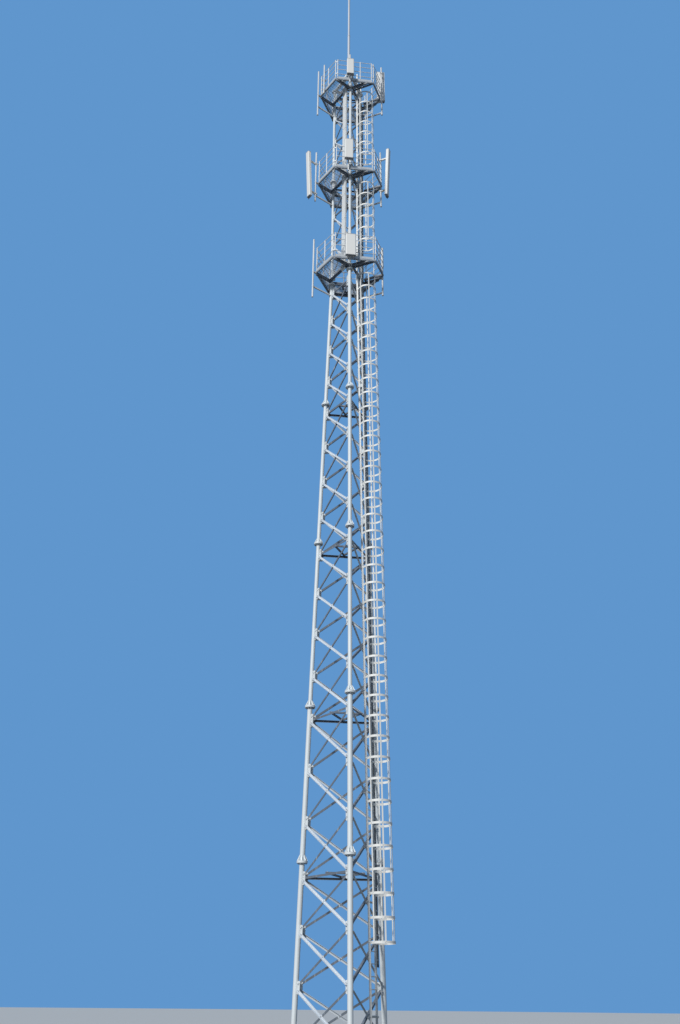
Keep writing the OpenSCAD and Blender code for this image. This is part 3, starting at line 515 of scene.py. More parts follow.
# %% Shaping and stamping
def template_from(bm, name):
    mesh = bpy.data.meshes.new(name)
    bm.to_mesh(mesh)
    bm.free()
    return mesh


def piece_from(bm, name, finish):
    """Turns a finished bmesh into a piece that rides on the mast."""
    piece = bpy.data.objects.new(name, template_from(bm, name))
    piece.data.materials.append(finish)
    scene.collection.objects.link(piece)
    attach(piece, "root")
    print(name, len(piece.data.polygons), "faces")
    return piece


def stamp(bm, template, *places):
    for place in places:
        known = len(bm.verts)
        bm.from_mesh(template)
        bm.verts.ensure_lookup_table()
        bmesh.ops.transform(bm, matrix=place, verts=bm.verts[known:])


def stack(bm, place, *rows):
    """Prisms on a place's Z axis. A row gives sides, width across flats, low, high and perhaps a taper."""
    for count, across, low, high, *taper in rows:
        radius = across / 2 / math.cos(math.pi / count)
        bmesh.ops.create_cone(
            bm, cap_ends=True, segments=count, radius1=radius, radius2=radius * (taper[0] if taper else 1),
            depth=high - low, matrix=place @ moved(0, 0, (low + high) / 2),
        )


def slab(bm, place, size, centre=(0, 0, 0)):
    shape = Matrix.Translation(centre) @ Matrix.Diagonal((*size, 1))
    bmesh.ops.create_cube(bm, size=1, matrix=place @ shape)


def stacked(name, *rows):
    bm = bmesh.new()
    stack(bm, moved(), *rows)
    return template_from(bm, name)


# %% Bolt templates
HEAD_SHARE, NUT_SHARE, HEAD_TAPER = 0.63, 0.8, 0.93
RING_SHARE, WASHER_SHARE = 1.22, 1.25


def bolt_template(name, thread, flats, grip, stub=0.010, washer=0.0):
    """Head on top at z = 0, nut under the grip, with a stub of thread below the nut."""
    nut_top = -grip - washer
    nut_foot = nut_top - thread * NUT_SHARE
    ring_d = flats * RING_SHARE
    rings = [(14, ring_d, 0, washer), (14, ring_d, nut_top, -grip)] if washer else []
    head = (6, flats, washer, washer + thread * HEAD_SHARE, HEAD_TAPER)
    nut, end = (6, flats, nut_foot, nut_top), (8, thread, nut_foot - stub, nut_foot)
    return stacked(name, *rings, head, nut, end)


def head_template(name, thread, flats, washer=0.0025):
    """Only the head with its washer, where the nut is hidden inside a beam."""
    head = (6, flats, washer, washer + thread * HEAD_SHARE, HEAD_TAPER)
    return stacked(name, (12, flats * WASHER_SHARE, 0, washer), head)


flange_bolt = bolt_template("flange_bolt", 0.020, 0.030, 2 * FLANGE_T, washer=0.003)
brace_bolt = bolt_template("brace_bolt", 0.016, 0.024, GUSSET_T + BAR_T)
cross_bolt = bolt_template("cross_bolt", 0.016, 0.024, GUSSET_T + 2 * BAR_T)
small_bolt = bolt_template("small_bolt", 0.012, 0.019, GUSSET_T + BAR_T, 0.006)
rim_head = head_template("rim_head", 0.012, 0.019)
arm_head = head_template("arm_head", 0.016, 0.024)
cage_head = head_template("cage_head", 0.008, 0.013)
print("templates:", len([mesh for mesh in bpy.data.meshes if mesh.users == 0]))

# %% [markdown]
# Two flanges meet at every joint of a leg, drawn together by eight bolts that stand between the stiffening
# ribs. At the feet the same circle holds anchor rods that rise out of the footing, each with a nut and a
# locknut.

# %% Flange bolts
BOLT_SHARE = 0.54
eighths = [turned(45 * n) for n in range(8)]
bm = bmesh.new()
for k in range(1, 7):
    circle = LEG_D[k - 1] / 2 + (LOW_RIM if k < 5 else TOP_RIM) * BOLT_SHARE
    for leg in range(3):
        joint = leg_place(leg, FLANGES[k])
        stamp(bm, flange_bolt, *[joint @ turn @ moved(circle, 0, FLANGE_T) for turn in eighths])
piece_from(bm, "flange_bolts", bolt_zinc)

# %% Anchor nuts
anchor_nut = stacked(
    "anchor_nut", (16, 0.044, 0, 0.004), (6, 0.036, 0.004, 0.023), (6, 0.036, 0.024, 0.036, 0.96),
    (12, 0.0235, -FLANGE_T, 0.060),
)
circle = LEG_D[0] / 2 + LOW_RIM / 2 + 0.002
bm = bmesh.new()
for leg in range(3):
    stamp(bm, anchor_nut, *[leg_place(leg, 0) @ turn @ moved(circle, 0, FLANGE_T) for turn in eighths])
piece_from(bm, "anchor_nuts", bolt_zinc)

# %% [markdown]
# A weld runs round each tube where it enters its flange, and along each gusset plate. It is only a thin
# bead, but it softens corners that would look cut with a knife. Round beads are a small profile spun about
# the tube, and straight ones are prisms of three sides laid in the corner.


# %% Weld beads
def bead_template(radius, up, leg_size=0.009, sunk=0.002, round_share=0.45):
    bm = bmesh.new()
    share = leg_size * round_share
    points = ((-sunk, 0), (leg_size, 0), (share, share), (-sunk, leg_size))
    corner = [bm.verts.new((radius + x, 0, up * z)) for x, z in points]
    profile = [bm.edges.new((corner[i], corner[(i + 1) % 4])) for i in range(4)]
    bmesh.ops.spin(
        bm, geom=corner + profile, axis=(0, 0, 1), cent=(0, 0, 0), angle=math.tau, steps=28, use_merge=True,
    )
    bmesh.ops.recalc_face_normals(bm, faces=bm.faces)
    return template_from(bm, "bead")


bm = bmesh.new()
for k in range(7):
    above, below = bead_template(LEG_D[k] / 2, 1), bead_template(LEG_D[k] / 2, -1)
    for leg in range(3):
        stamp(bm, above, leg_place(leg, FLANGES[k] + FLANGE_T))
        stamp(bm, below, leg_place(leg, FLANGES[k + 1] - FLANGE_T))
piece_from(bm, "flange_welds", weld_zinc)


# %% Gusset welds
def gusset_half_height(joints, j):
    z = joints[j]
    rises = [abs(joints[n] - z) for n in (j - 1, j + 1) if 0 <= n < len(joints)]
    reach = leg_radius(z) + (LOW_GUSSET if z < BEND else TOP_GUSSET)
    return reach * max(rises) / side_at(z) + GUSSET_MORE


GUSSET_MORE, WELD_SINK = 0.044, 0.001
edge_lean = math.atan((BASE_SIDE - MAST_SIDE) / 2 / BEND)
bm = bmesh.new()
for joints in (low_joints, top_joints):
    for j, z in enumerate(joints):
        half = gusset_half_height(joints, j)
        lean = edge_lean if z < BEND else 0.0
        for face in range(3):
            for end in (-1, 1):
                foot = face_place(face, z) @ moved(end * side_at(z) / 2, 0, up_slope(z))
                foot = foot @ Matrix.Rotation(end * -lean, 4, "Y")
                for skin in (-1, 1):
                    spot = moved(-end * (leg_radius(z) + WELD_SINK), skin * (GUSSET_T / 2 + WELD_SINK))
                    stack(bm, foot @ spot, (3, 0.008, -half, half))
piece_from(bm, "gusset_welds", weld_zinc)

# %% [markdown]
# Each brace ends on a gusset plate with two bolts, and the two braces of a panel share one at their
# crossing. The places follow from the panel's slope, exactly as a detailer would mark them on the bar.


# %% Brace bolts
def end_trim(z, angle, width):
    clear_leg = (leg_radius(z) + BAR_CLEAR + width / 2 * math.sin(angle)) / math.cos(angle)
    clear_level = (width / 2 + CROSSING_CLEAR + width / 2 * math.cos(angle)) / math.sin(angle)
    return max(clear_leg, clear_level)


def panel_bolts(joints, width, spacing):
    """Local places of the bolts of one face: at the bar ends, then at the crossings."""
    ends, crossings = [], []
    for z0, z1 in zip(joints, joints[1:]):
        half0, half1, v0, v1 = side_at(z0) / 2, side_at(z1) / 2, up_slope(z0), up_slope(z1)
        angle = math.atan((v1 - v0) / (half0 + half1))
        for side, turn in ((1, inwards), (-1, outwards)):
            bar = Vector((side * math.cos(angle), 0, math.sin(angle)))
            foot = Vector((-side * half0, side * BAR_FACE, v0)) + bar * end_trim(z0, angle, width)
            head = Vector((side * half1, side * BAR_FACE, v1)) - bar * end_trim(z1, angle, width)
            for step in spacing:
                ends += [moved(*(foot + bar * step)) @ turn, moved(*(head - bar * step)) @ turn]
        crossings.append(moved(0, -BAR_FACE, up_slope(crossing(z0, z1))) @ outwards)
    return ends, crossings


def level_bolts(joints, width, step=0.015):
    """Local places of the bolts at both ends of the level bars."""
    found = []
    for z in drops[1:]:
        if joints[0] <= z <= joints[-1]:
            trim = max(leg_radius(z) + BAR_CLEAR, (width + GUSSET_T / 2) * math.sqrt(3) + LEVEL_CLEAR)
            x = side_at(z) / 2 - trim - step
            found += [moved(end * x, BAR_FACE, up_slope(z)) @ inwards for end in (-1, 1)]
    return found


bar_sets = ((low_joints, LOW_BAR, (0.022, 0.064)), (top_joints, TOP_BAR, (0.016, 0.050)))
for face, label in enumerate(faces):
    bm = bmesh.new()
    for joints, width, spacing in bar_sets:
        local = face_place(face, joints[0])
        ends, crossings = panel_bolts(joints, width, spacing)
        stamp(bm, brace_bolt, *[local @ p for p in ends])
        stamp(bm, cross_bolt, *[local @ p for p in (crossings if face else crossings[1::2])])
        stamp(bm, small_bolt, *[local @ p for p in level_bolts(joints, width)])
    piece_from(bm, f"{label}_brace_bolts", bolt_zinc)

# %% [markdown]
# The inner rings lie on the level bars, and each of their bars is bolted down near both of its mitred ends.

# %% Ring bolts
RING_CLEAR, RING_STEP = 0.005, 0.060
bm = bmesh.new()
for z in drops[1:]:
    tip = side_at(z) / 2 / math.sqrt(3) - GUSSET_T / 2 - RING_CLEAR
    top = z + (LOW_BAR if z < BEND else TOP_BAR) / 2 + RING_BAR
    for turn_deg in (0, 120, 240):
        for side in (-1, 1):
            spot = moved(side * (tip * math.cos(math.pi / 6) - RING_STEP), tip / 2 - RING_BAR / 2, top)
            stamp(bm, rim_head, at_axis @ turned(turn_deg) @ spot)
piece_from(bm, "ring_bolts", bolt_zinc)

# %% [markdown]
# The floors are open bar gratings, which is why the sky shows through them from below. A grating is a row
# of upright flat bars, tied by thin cross rods and framed by a band. Each panel of the floor is filled that
# way, and the finished grating stands in for the plain plate that the steel shop drew.


# %% Grating panels
def trimmed(outline, heading_deg, distance):
    """Cuts a convex outline by the line that lies at a distance from the origin in a heading."""
    normal = heading_vector(heading_deg).xy
    kept = []
    for a, b in zip(outline, outline[1:] + outline[:1]):
        over_a, over_b = normal.dot(a) - distance, normal.dot(b) - distance
        if over_a <= 0:
            kept.append(a)
        if over_a * over_b < 0:
            kept.append(a.lerp(b, over_a / (over_a - over_b)))
    return kept


def span_at(outline, x, flip):
    """Lowest and highest place where a line across a convex outline cuts it."""
    cuts = []
    for a, b in zip(outline, outline[1:] + outline[:1]):
        (x0, y0), (x1, y1) = (a.yx, b.yx) if flip else (a.xy, b.xy)
        if (x0 - x) * (x1 - x) < 0:
            cuts.append(y0 + (y1 - y0) * (x - x0) / (x1 - x0))
    return (min(cuts), max(cuts)) if len(cuts) == 2 else (0, 0)


def along(way):
    """A turn that lays the X axis along a level direction."""
    return Matrix.Rotation(math.atan2(way.y, way.x), 4, "Z")


BAR_PITCH, ROD_PITCH, ROD_T, SHORTEST, BAND_T = 0.041, 0.100, 0.006, 0.02, 0.004


def grating_panel(bm, local, outline):
    (x_low, y_low), (x_high, y_high) = [[pick(p[i] for p in outline) for i in (0, 1)] for pick in (min, max)]
    for n in range(1, int((x_high - x_low) / BAR_PITCH) + 1):
        x = x_low + n * BAR_PITCH
        low, high = span_at(outline, x, False)
        if high - low > SHORTEST:
            slab(bm, local, (0.003, high - low, GRATING_T), (x, (low + high) / 2, -GRATING_T / 2))
    for n in range(int((y_high - y_low) / ROD_PITCH) + 1):
        y = y_low + (n + 0.5) * ROD_PITCH
        low, high = span_at(outline, y, True)
        if high - low > SHORTEST:
            slab(bm, local, (high - low, ROD_T, ROD_T), ((low + high) / 2, y, -0.004))
    centre = sum(outline, Vector((0, 0))) / len(outline)
    for a, b in zip(outline, outline[1:] + outline[:1]):
        edge = b - a
        if edge.length > 0.005:
            across = Vector((-edge.y, edge.x)).normalized()
            middle = (a + b) / 2 + across * math.copysign(BAND_T / 2, across.dot(centre - a))
            spot = moved(*middle, -GRATING_T / 2) @ along(edge)
            slab(bm, local @ spot, (edge.length, BAND_T, GRATING_T))


# %% Platform gratings
def box_outline(x0, y0, x1, y1):
    return [Vector((x0, y0)), Vector((x1, y0)), Vector((x1, y1)), Vector((x0, y1))]


far, SEAM = 2.0, 0.002
near_y = mast_in + LEG_D[6] / 2 + GRATING_CLEAR
half_x = MAST_SIDE / 2 - SEAM
riser_x0, riser_x1 = RISER_X - RISER_CLEAR, RISER_X + RISER_W + RISER_CLEAR
wedge_y = LEG_D[6] / 2 + GRATING_CLEAR
wedge_in, wedge_out = wedge_y * math.sqrt(3) - 2 * SEAM, far * math.sqrt(3) - 2 * SEAM
wedge = [(-wedge_out, -far), (wedge_out, -far), (wedge_in, -wedge_y), (-wedge_in, -wedge_y)]
panels = [
    (120, box_outline(-half_x, -far, half_x, -near_y)),
    (240, box_outline(-half_x, -far, riser_x0, -near_y)),
    (240, box_outline(riser_x0, -far, riser_x1, -mast_in - BEAM_OUT - RISER_T - RISER_CLEAR)),
    (240, box_outline(riser_x1, -far, half_x, -near_y)),
    (0, box_outline(-half_x, -far, -HATCH_HALF, -near_y)),
    (0, box_outline(HATCH_HALF, -far, half_x, -mast_in - LADDER_GAP - TRAY_ROOM)),
]
panels += [(120 * leg - 60, [Vector((x, y - mast_r)) for x, y in wedge]) for leg in range(3)]
for level in range(3):
    bm = bmesh.new()
    for turn_deg, outline in panels:
        for heading_deg, distance in rim_lines:
            outline = trimmed(outline, heading_deg - turn_deg, distance - RAIL_BAND)
        if turn_deg % 120 == 0:
            turn_deg, outline = turn_deg + 90, [Vector((point.y, -point.x)) for point in outline]
        grating_panel(bm, floor_place(level, turn_deg), outline)
    grating = piece_from(bm, f"platform_{level + 1}_grating", grating_zinc)
    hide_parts(f"platform_{level + 1}_floor")

# %% [markdown]
# A railing panel stands on foot plates that are bolted to the rim. Its posts wear caps, its rails have a
# small weld at each post, and neighbouring panels are tied by short plates round the corner. All of these
# hang on the same few numbers: where a panel starts, how long it is, and how many bays it has.


# %% Railing runs
def railing_runs(level):
    """Place, half length and number of bays of the six railing panels, in order round the floor."""
    inset = RAIL_BAND / 2
    trim = 2 * inset * math.tan(math.pi / 6)
    longer = (FRONT_REACH - REACH) / math.cos(math.pi / 6)
    rows = []
    for i, shift in enumerate((longer, -longer, 0)):
        length = REACH * math.sqrt(3) + abs(shift) - trim - CORNER_GAP
        rows.append((120 * i - 60, shift / 2, corner_edge, length, 3 if shift else 2))
        edge, length = (mast_in + FRONT_REACH, MAST_SIDE - longer) if i == 0 else (side_edge, MAST_SIDE)
        rows.append((120 * i, 0, edge, length - trim, 2))
    runs = []
    for turn_deg, shift, edge, length, bays in rows:
        place = floor_place(level, turn_deg) @ moved(shift, inset - edge)
        runs.append((place, (length - RAIL_POST) / 2 - RAIL_END, bays))
    return runs


def post_places(run):
    place, half, bays = run
    return [place @ moved(-half + 2 * half * n / bays) for n in range(bays + 1)]


print("railing panels:", len(railing_runs(0)), "on each platform")

# %% Railing fittings
FOOT_T, CAP_LIFT = 0.006, 0.004
fitting = bmesh.new()
slab(fitting, moved(), (0.108, 0.040, FOOT_T), (0, 0, -GRATING_T + FOOT_T / 2))
stack(
    fitting, moved(), (8, RAIL_POST + 0.008, -GRATING_T + FOOT_T, -GRATING_T + 0.012, 0.86),
    (8, RAIL_POST + 0.004, RAIL_H - CAP_LIFT, RAIL_H + CAP_LIFT),
    (8, RAIL_POST + 0.004, RAIL_H + CAP_LIFT, RAIL_H + 0.009, 0.7),
)
for k in range(1, 5):
    for side, away in both_sides:
        at_rail = moved(side * RAIL_POST / 2, 0, RAIL_H * k / 4 - RAIL_D / 2)
        stack(fitting, at_rail @ away, (8, RAIL_D + 0.010, 0, 0.006, 0.84))
post_fitting = template_from(fitting, "post_fitting")
for level in range(3):
    bm = bmesh.new()
    runs = railing_runs(level)
    for run in runs:
        stamp(bm, post_fitting, *post_places(run))
    ends = [[(place @ moved(end * half)).translation for end in (-1, 1)] for place, half, bays in runs]
    for (_, start), (end, _) in zip(ends, ends[1:] + ends[:1]):
        tie = end - start
        corner = moved(*((start + end) / 2)) @ along(tie)
        for rise in (RAIL_H * 0.25, RAIL_H * 0.88):
            plate = corner @ moved(0, -RAIL_POST / 2 - 0.003, rise)
            slab(bm, plate, (tie.length + 0.036, 0.006, 0.045))
            for side in (-1, 1):
                stamp(bm, rim_head, plate @ moved(side * tie.length / 2, -0.003) @ outwards)
    piece_from(bm, f"platform_{level + 1}_railing_fittings", railing_zinc)

# %% [markdown]
# Under each floor the arms, the inner beams and the rim are bolted together. The heads are small, but they
# are what a climber sees from below, so they sit in pairs where one member meets another.


# %% Platform bolts
ARM_OUT = MAST_SIDE / 2 + 0.035


def arm_places(level):
    """Places on the upright outer side of each arm, where its inner beam is bolted on."""
    found = []
    for face in range(3):
        for side, away in both_sides:
            corner = floor_place(level, 120 * face) @ moved(side * ARM_OUT, -mast_in, -GRATING_T)
            found += [corner @ moved(0, -y, -z) @ away for y in (0.075, 0.100) for z in (0.055, 0.105)]
    return found


def rim_corners():
    """The six corners of the rim, in order, seen from above."""
    corners = []
    for (a, da), (b, db) in zip(rim_lines, rim_lines[1:] + rim_lines[:1]):
        (ca, sa), (cb, sb) = heading_vector(a).xy, heading_vector(b).xy
        scale = ca * sb - sa * cb
        corners.append(Vector(((da * sb - db * sa) / scale, (db * ca - da * cb) / scale, 0)))
    return corners


for level in range(3):
    bm = bmesh.new()
    stamp(bm, arm_head, *arm_places(level))
    ring = rim_corners()
    under = floor_place(level) @ moved(0, 0, -GRATING_T - RIM_H / 2)
    for a, b in zip(ring, ring[1:] + ring[:1]):
        way = (b - a).normalized()
        for spot in (a + way * 0.060, a + way * 0.110, b - way * 0.060, b - way * 0.110):
            stamp(bm, rim_head, under @ moved(*spot) @ along(way) @ outwards)
    for place in [p for run in railing_runs(level) for p in post_places(run)]:
        stamp(bm, rim_head, *[place @ moved(x, 0, -GRATING_T + FOOT_T) for x in (-0.038, 0.038)])
    piece_from(bm, f"platform_{level + 1}_bolts", bolt_zinc)

# %% [markdown]
# A ladder hangs from the mast on brackets. Each bracket starts on a plate at a brace crossing and holds
# both side bars with bolted clips.

# %% Ladder clips
PLATE_T, BOLT_SPREAD = 0.006, (-0.026, 0.026)
inner_x, outer_x = (LADDER_W - STILE_T) / 2, (LADDER_W + STILE_T) / 2
brackets = [crossing(a, b) for joints in (low_joints, top_joints) for a, b in zip(joints[::2], joints[1::2])]
clip = bmesh.new()
slab(clip, moved(), (PLATE_T, 0.060, 0.036), (PLATE_T / 2, -0.022, 0))
slab(clip, moved(), (0.040, PLATE_T, 0.036), (0.026, -PLATE_T / 2, 0))
stile_clip = template_from(clip, "stile_clip")
clips, heads = bmesh.new(), bmesh.new()
for z in brackets:
    local = face_place(0, z) @ moved(0, 0, up_slope(z))
    plate = local @ moved(0, -BAR_FACE - PLATE_T)
    slab(clips, plate, (0.080, PLATE_T, 0.080), (0, PLATE_T / 2, 0))
    stamp(heads, rim_head, *[plate @ moved(x, 0, up) @ outwards for x in BOLT_SPREAD for up in BOLT_SPREAD])
    for side, away in both_sides:
        corner = local @ moved(side * outer_x, -LADDER_GAP)
        stamp(clips, stile_clip, corner @ Matrix.Diagonal((side, 1, 1, 1)))
        stamp(heads, rim_head, corner @ moved(side * PLATE_T, -0.036) @ away)
        stamp(heads, rim_head, corner @ moved(side * 0.028, -PLATE_T) @ outwards)
bmesh.ops.recalc_face_normals(clips, faces=clips.faces)
piece_from(clips, "ladder_clips", ladder_zinc)
piece_from(heads, "ladder_bolts", bolt_zinc)

# %% [markdown]
# A rung is welded into both side bars. A collar of weld shows on the inside and a ground plug on the
# outside. The side bars come in lengths of about five metres, and a bolted plate joins two lengths half way
# between rungs.

# %% Rung welds and splice plates
RUNG_STOP, SPLICE_STEP, SPLICE_CLEAR = 0.040, 18, 0.13
low_front, top_front = face_place(0, 0), face_place(0, BEND)
low_end = up_slope(BEND - 0.001)
middle_y = -LADDER_GAP - STILE_W / 2
splice_bolt = bolt_template("splice_bolt", 0.012, 0.019, STILE_T + PLATE_T, 0.005)
welds, plates, bolts = bmesh.new(), bmesh.new(), bmesh.new()
for local, v0, v1, first_splice in (
    (low_front, LADDER_FOOT, low_end - BEND_GAP, 17), (top_front, BEND + BEND_GAP, FLOORS[2] + RAIL_H, 12),
):
    for n in range(int((v1 - v0 - RUNG_STOP - RUNG_PITCH / 2) / RUNG_PITCH) + 1):
        rung = local @ moved(0, middle_y, v0 + RUNG_PITCH * (n + 0.5))
        for side, away in both_sides:
            stack(welds, rung @ moved(side * inner_x) @ away @ turned(180, "X"), (10, 0.030, 0, 0.004, 0.8))
            stack(welds, rung @ moved(side * outer_x) @ away, (10, 0.020, 0, 0.0015, 0.7))
    for n in range(first_splice, int((v1 - v0) / RUNG_PITCH), SPLICE_STEP):
        v = v0 + RUNG_PITCH * n
        while min(abs(v - up_slope(z)) for z in brackets) < SPLICE_CLEAR:
            v += 2 * RUNG_PITCH
        for side, away in both_sides:
            plate = local @ moved(side * (outer_x + PLATE_T), middle_y, v)
            slab(plates, plate, (PLATE_T, 0.046, 0.180), (-side * PLATE_T / 2, 0, 0))
            for up in (-0.066, -0.026, 0.026, 0.066):
                stamp(bolts, splice_bolt, plate @ moved(0, 0, up) @ away)
piece_from(welds, "rung_welds", weld_zinc)
piece_from(plates, "ladder_splices", ladder_zinc)
piece_from(bolts, "ladder_splice_bolts", bolt_zinc)

# %% [markdown]
# The cage is bolted together in the air. Two small bolts hold each strap to each hoop, with the heads
# outside so that nothing catches a climber, and two larger ones hold each end of a hoop to the ladder.

# %% Cage bolts
STRAPS, STRAP_T = 5, 0.005
hoop_half = outer_x + HOOP_T / 2
hoop_stand = math.sqrt(HOOP_R * HOOP_R - hoop_half * hoop_half)
hoop_span = 360 - 2 * math.degrees(math.atan2(hoop_half, hoop_stand))
strip_span = hoop_span / STRAPS
hoop_face = (HOOP_R + HOOP_T / 2) * math.cos(math.radians(strip_span / 10))
cage_grip = hoop_face - (HOOP_R - HOOP_T / 2 - STRAP_T)
cage_bolt = bolt_template("cage_bolt", 0.008, 0.013, cage_grip, 0.004)
tab_bolt = bolt_template("tab_bolt", 0.010, 0.016, STILE_T + HOOP_T, 0.004)
cage_runs = [(low_front, CAGE_FOOT, low_end - 0.160)]
cage_runs += [(top_front, FLOORS[n] + RAIL_H + 0.120, FLOORS[n + 1] - 0.250) for n in (0, 1)]
bm = bmesh.new()
for local, v0, v1 in cage_runs:
    for n in range(int((v1 - v0) / HOOP_PITCH) + 1):
        hoop = local @ moved(0, -LADDER_GAP, v0 + HOOP_PITCH * n)
        for s in range(STRAPS):
            turn = turned(90 + (360 - hoop_span) / 2 + (s + 0.5) * strip_span)
            for across, up in ((-0.010, 0.018), (0.010, 0.042)):
                spot = moved(0, -STILE_W - hoop_stand) @ turn @ moved(hoop_face, across, up)
                stamp(bm, cage_bolt, hoop @ spot @ rightwards)
        for side, away in both_sides:
            for y in (0.040, 0.018):
                stamp(bm, tab_bolt, hoop @ moved(side * (outer_x + HOOP_T), -y, HOOP_W / 2) @ away)
piece_from(bm, "cage_bolts", bolt_zinc)

# %% [markdown]
# Every cross bar of the tray carries a clamp. Rubber sleeves sit round the five cables, and one flat bar
# presses them down with two bolts. Longer sleeves cover the couplings at the bend and close both ends of
# each cable.

# %% Cable clamps
SLEEVE_D, BOOT_D, CLAMP_T = 0.0296, 0.0312, 0.003
CLAMP_START, CLAMP_STOP, BAR_MIDDLE = 0.150, 0.060, 0.020
cable_x = [TRAY_X + CABLE_SIDE + c * (TRAY_W - 2 * CABLE_SIDE) / 4 for c in range(5)]
cable_y = -LADDER_GAP - CABLE_LIFT - CABLE_D / 2
clamp_y = cable_y - SLEEVE_D / 2
clamp_screw = stacked("clamp_screw", (8, 0.005, -0.034, 0), (6, 0.013, 0, 0.005, HEAD_TAPER))
sleeves, clamps = bmesh.new(), bmesh.new()
for local, v0, v1 in (
    (low_front, TRAY_FOOT, low_end - BEND_GAP), (top_front, BEND + BEND_GAP, FLOORS[2] - TRAY_STOP),
):
    for n in range(int((v1 - CLAMP_STOP - v0 - CLAMP_START) / TRAY_PITCH) + 1):
        bar = local @ moved(0, 0, v0 + CLAMP_START + TRAY_PITCH * n + BAR_MIDDLE)
        for x in cable_x:
            stack(sleeves, bar @ moved(x, cable_y), (12, SLEEVE_D, -0.022, 0.022))
        slab(clamps, bar, (TRAY_W - 0.014, CLAMP_T, 0.026), (TRAY_X + TRAY_W / 2, clamp_y - CLAMP_T / 2, 0))
        for c in (0, 3):
            between = (cable_x[c] + cable_x[c + 1]) / 2
            stamp(clamps, clamp_screw, bar @ moved(between, clamp_y - CLAMP_T) @ outwards)
for c, x in enumerate(cable_x):
    for local, v, *rows in (
        (low_front, low_end, (-0.055, 0)), (top_front, BEND + 0.0005, (0, 0.055)),
        (low_front, TRAY_FOOT + BAR_MIDDLE, (-0.012, 0.050)),
        (top_front, FLOORS[2] - TRAY_STOP - 0.020 - 0.040 * c, (-0.070, 0.004), (0.004, 0.022, 0.6)),
    ):
        stack(sleeves, local @ moved(x, cable_y, v), *[(12, BOOT_D, *row) for row in rows])
piece_from(sleeves, "cable_sleeves", boot_skin)
piece_from(clamps, "cable_clamps", tray_zinc)

# %% [markdown]
# The riser on the left face is a flat channel with a lid in lengths. Straps grip it where two lids meet,
# screws close the lids along both edges, and a folded cap shuts each end.

# %% Riser lids
LID_T, LIP, LID_GAP, STRAP_W = 0.002, 0.014, 0.008, 0.036
half_w, strap_y = RISER_W / 2, LID_T + CLAMP_T / 2
riser_foot, riser_head = FLOORS[0] - 0.195, FLOORS[2] + 0.080
riser = at_axis @ turned(240) @ moved(RISER_X + half_w, -mast_in - BEAM_OUT - RISER_T)
riser_joints = spread(riser_foot + 0.050, riser_head - 0.050, 8) + [riser_head - 0.050]
lids, screws = bmesh.new(), bmesh.new()
for low, high in zip(riser_joints, riser_joints[1:]):
    middle, length = (low + high) / 2, high - low - LID_GAP
    slab(lids, riser, (RISER_W + 2 * LID_T, LID_T, length), (0, -LID_T / 2, middle))
    for side in (-1, 1):
        slab(lids, riser, (LID_T, LIP, length), (side * (half_w + LID_T / 2), LIP / 2 - 0.001, middle))
        for z in spread(low + 0.10, high - 0.10, 3) + [high - 0.10]:
            stamp(screws, cage_head, riser @ moved(side * (half_w - LIP), -LID_T, z) @ outwards)
for z in [z for z in riser_joints if min(abs(z + 0.06 - floor_z) for floor_z in FLOORS) > 0.12]:
    slab(lids, riser, (RISER_W + 0.010, CLAMP_T, STRAP_W), (0, -strap_y, z))
    for side in (-1, 1):
        slab(lids, riser, (CLAMP_T, RISER_T, STRAP_W), (side * (half_w + strap_y), RISER_T / 2 - 0.004, z))
        stamp(screws, rim_head, riser @ moved(side * (half_w - 0.030), -LID_T - CLAMP_T, z) @ outwards)
for z, way in ((riser_foot, -1), (riser_head, 1)):
    slab(lids, riser, (RISER_W + 0.008, RISER_T + 0.006, 0.004), (0, RISER_T / 2, z + way * 0.002))
    slab(lids, riser, (RISER_W + 0.008, CLAMP_T, 0.030), (0, -strap_y, z - way * 0.013))
piece_from(lids, "riser_lids", riser_zinc)
piece_from(screws, "riser_screws", bolt_zinc)

# %% [markdown]
# Upright pipes stand round every platform. The lists below name each pipe by its place on the floor's edge
# and by how far it runs below and above the floor, and the straps, caps and aerials all start from them.


# %% Pipes
def pipe_row(level, turn_deg, edge, x, stand, low, high):
    """An upright pipe's place, and how far it runs below and above the floor."""
    return floor_place(level, turn_deg) @ moved(x, -edge - stand), low, high


end_x = MAST_SIDE / 2
left_runs = ((0.100, 1.200, 1.440), (0.100, 1.010, 1.500), (0.100, 1.210, 1.320))
right_runs = ((0.110, 0.850, 0.450), (0.100, 0.950, 1.880), (0.200, 0.850, 1.950))
left_pipes = [pipe_row(n, 240, side_edge, -end_x, *run) for n, run in enumerate(left_runs)]
right_pipes = [pipe_row(n, 0, side_edge, end_x, *run) for n, run in enumerate(right_runs)]
edge_pipes = [pipe_row(n, -60, corner_edge, x, EDGE_STAND, 0.250, 1.350)
              for n, x in enumerate((-0.040, -0.120, -0.080))]
edge_pipes.append(pipe_row(2, 240, side_edge, -0.190, EDGE_STAND, 0.250, 1.400))
CAP_D, CAP_T, CAP_LAP = PIPE_D + 0.004, 0.004, 0.022
caps = bmesh.new()
for pipe, low, high in left_pipes + right_pipes + edge_pipes:
    rows = [(-low - CAP_T, -low + CAP_LAP), (high - CAP_LAP, high + CAP_T), (high + CAP_T, high + 0.012, 0.7)]
    holds_whip = pipe is right_pipes[0][0]
    stack(caps, pipe, *[(20, CAP_D, *row) for row in (rows[:1] if holds_whip else rows)])
piece_from(caps, "pipe_caps", pipe_zinc)

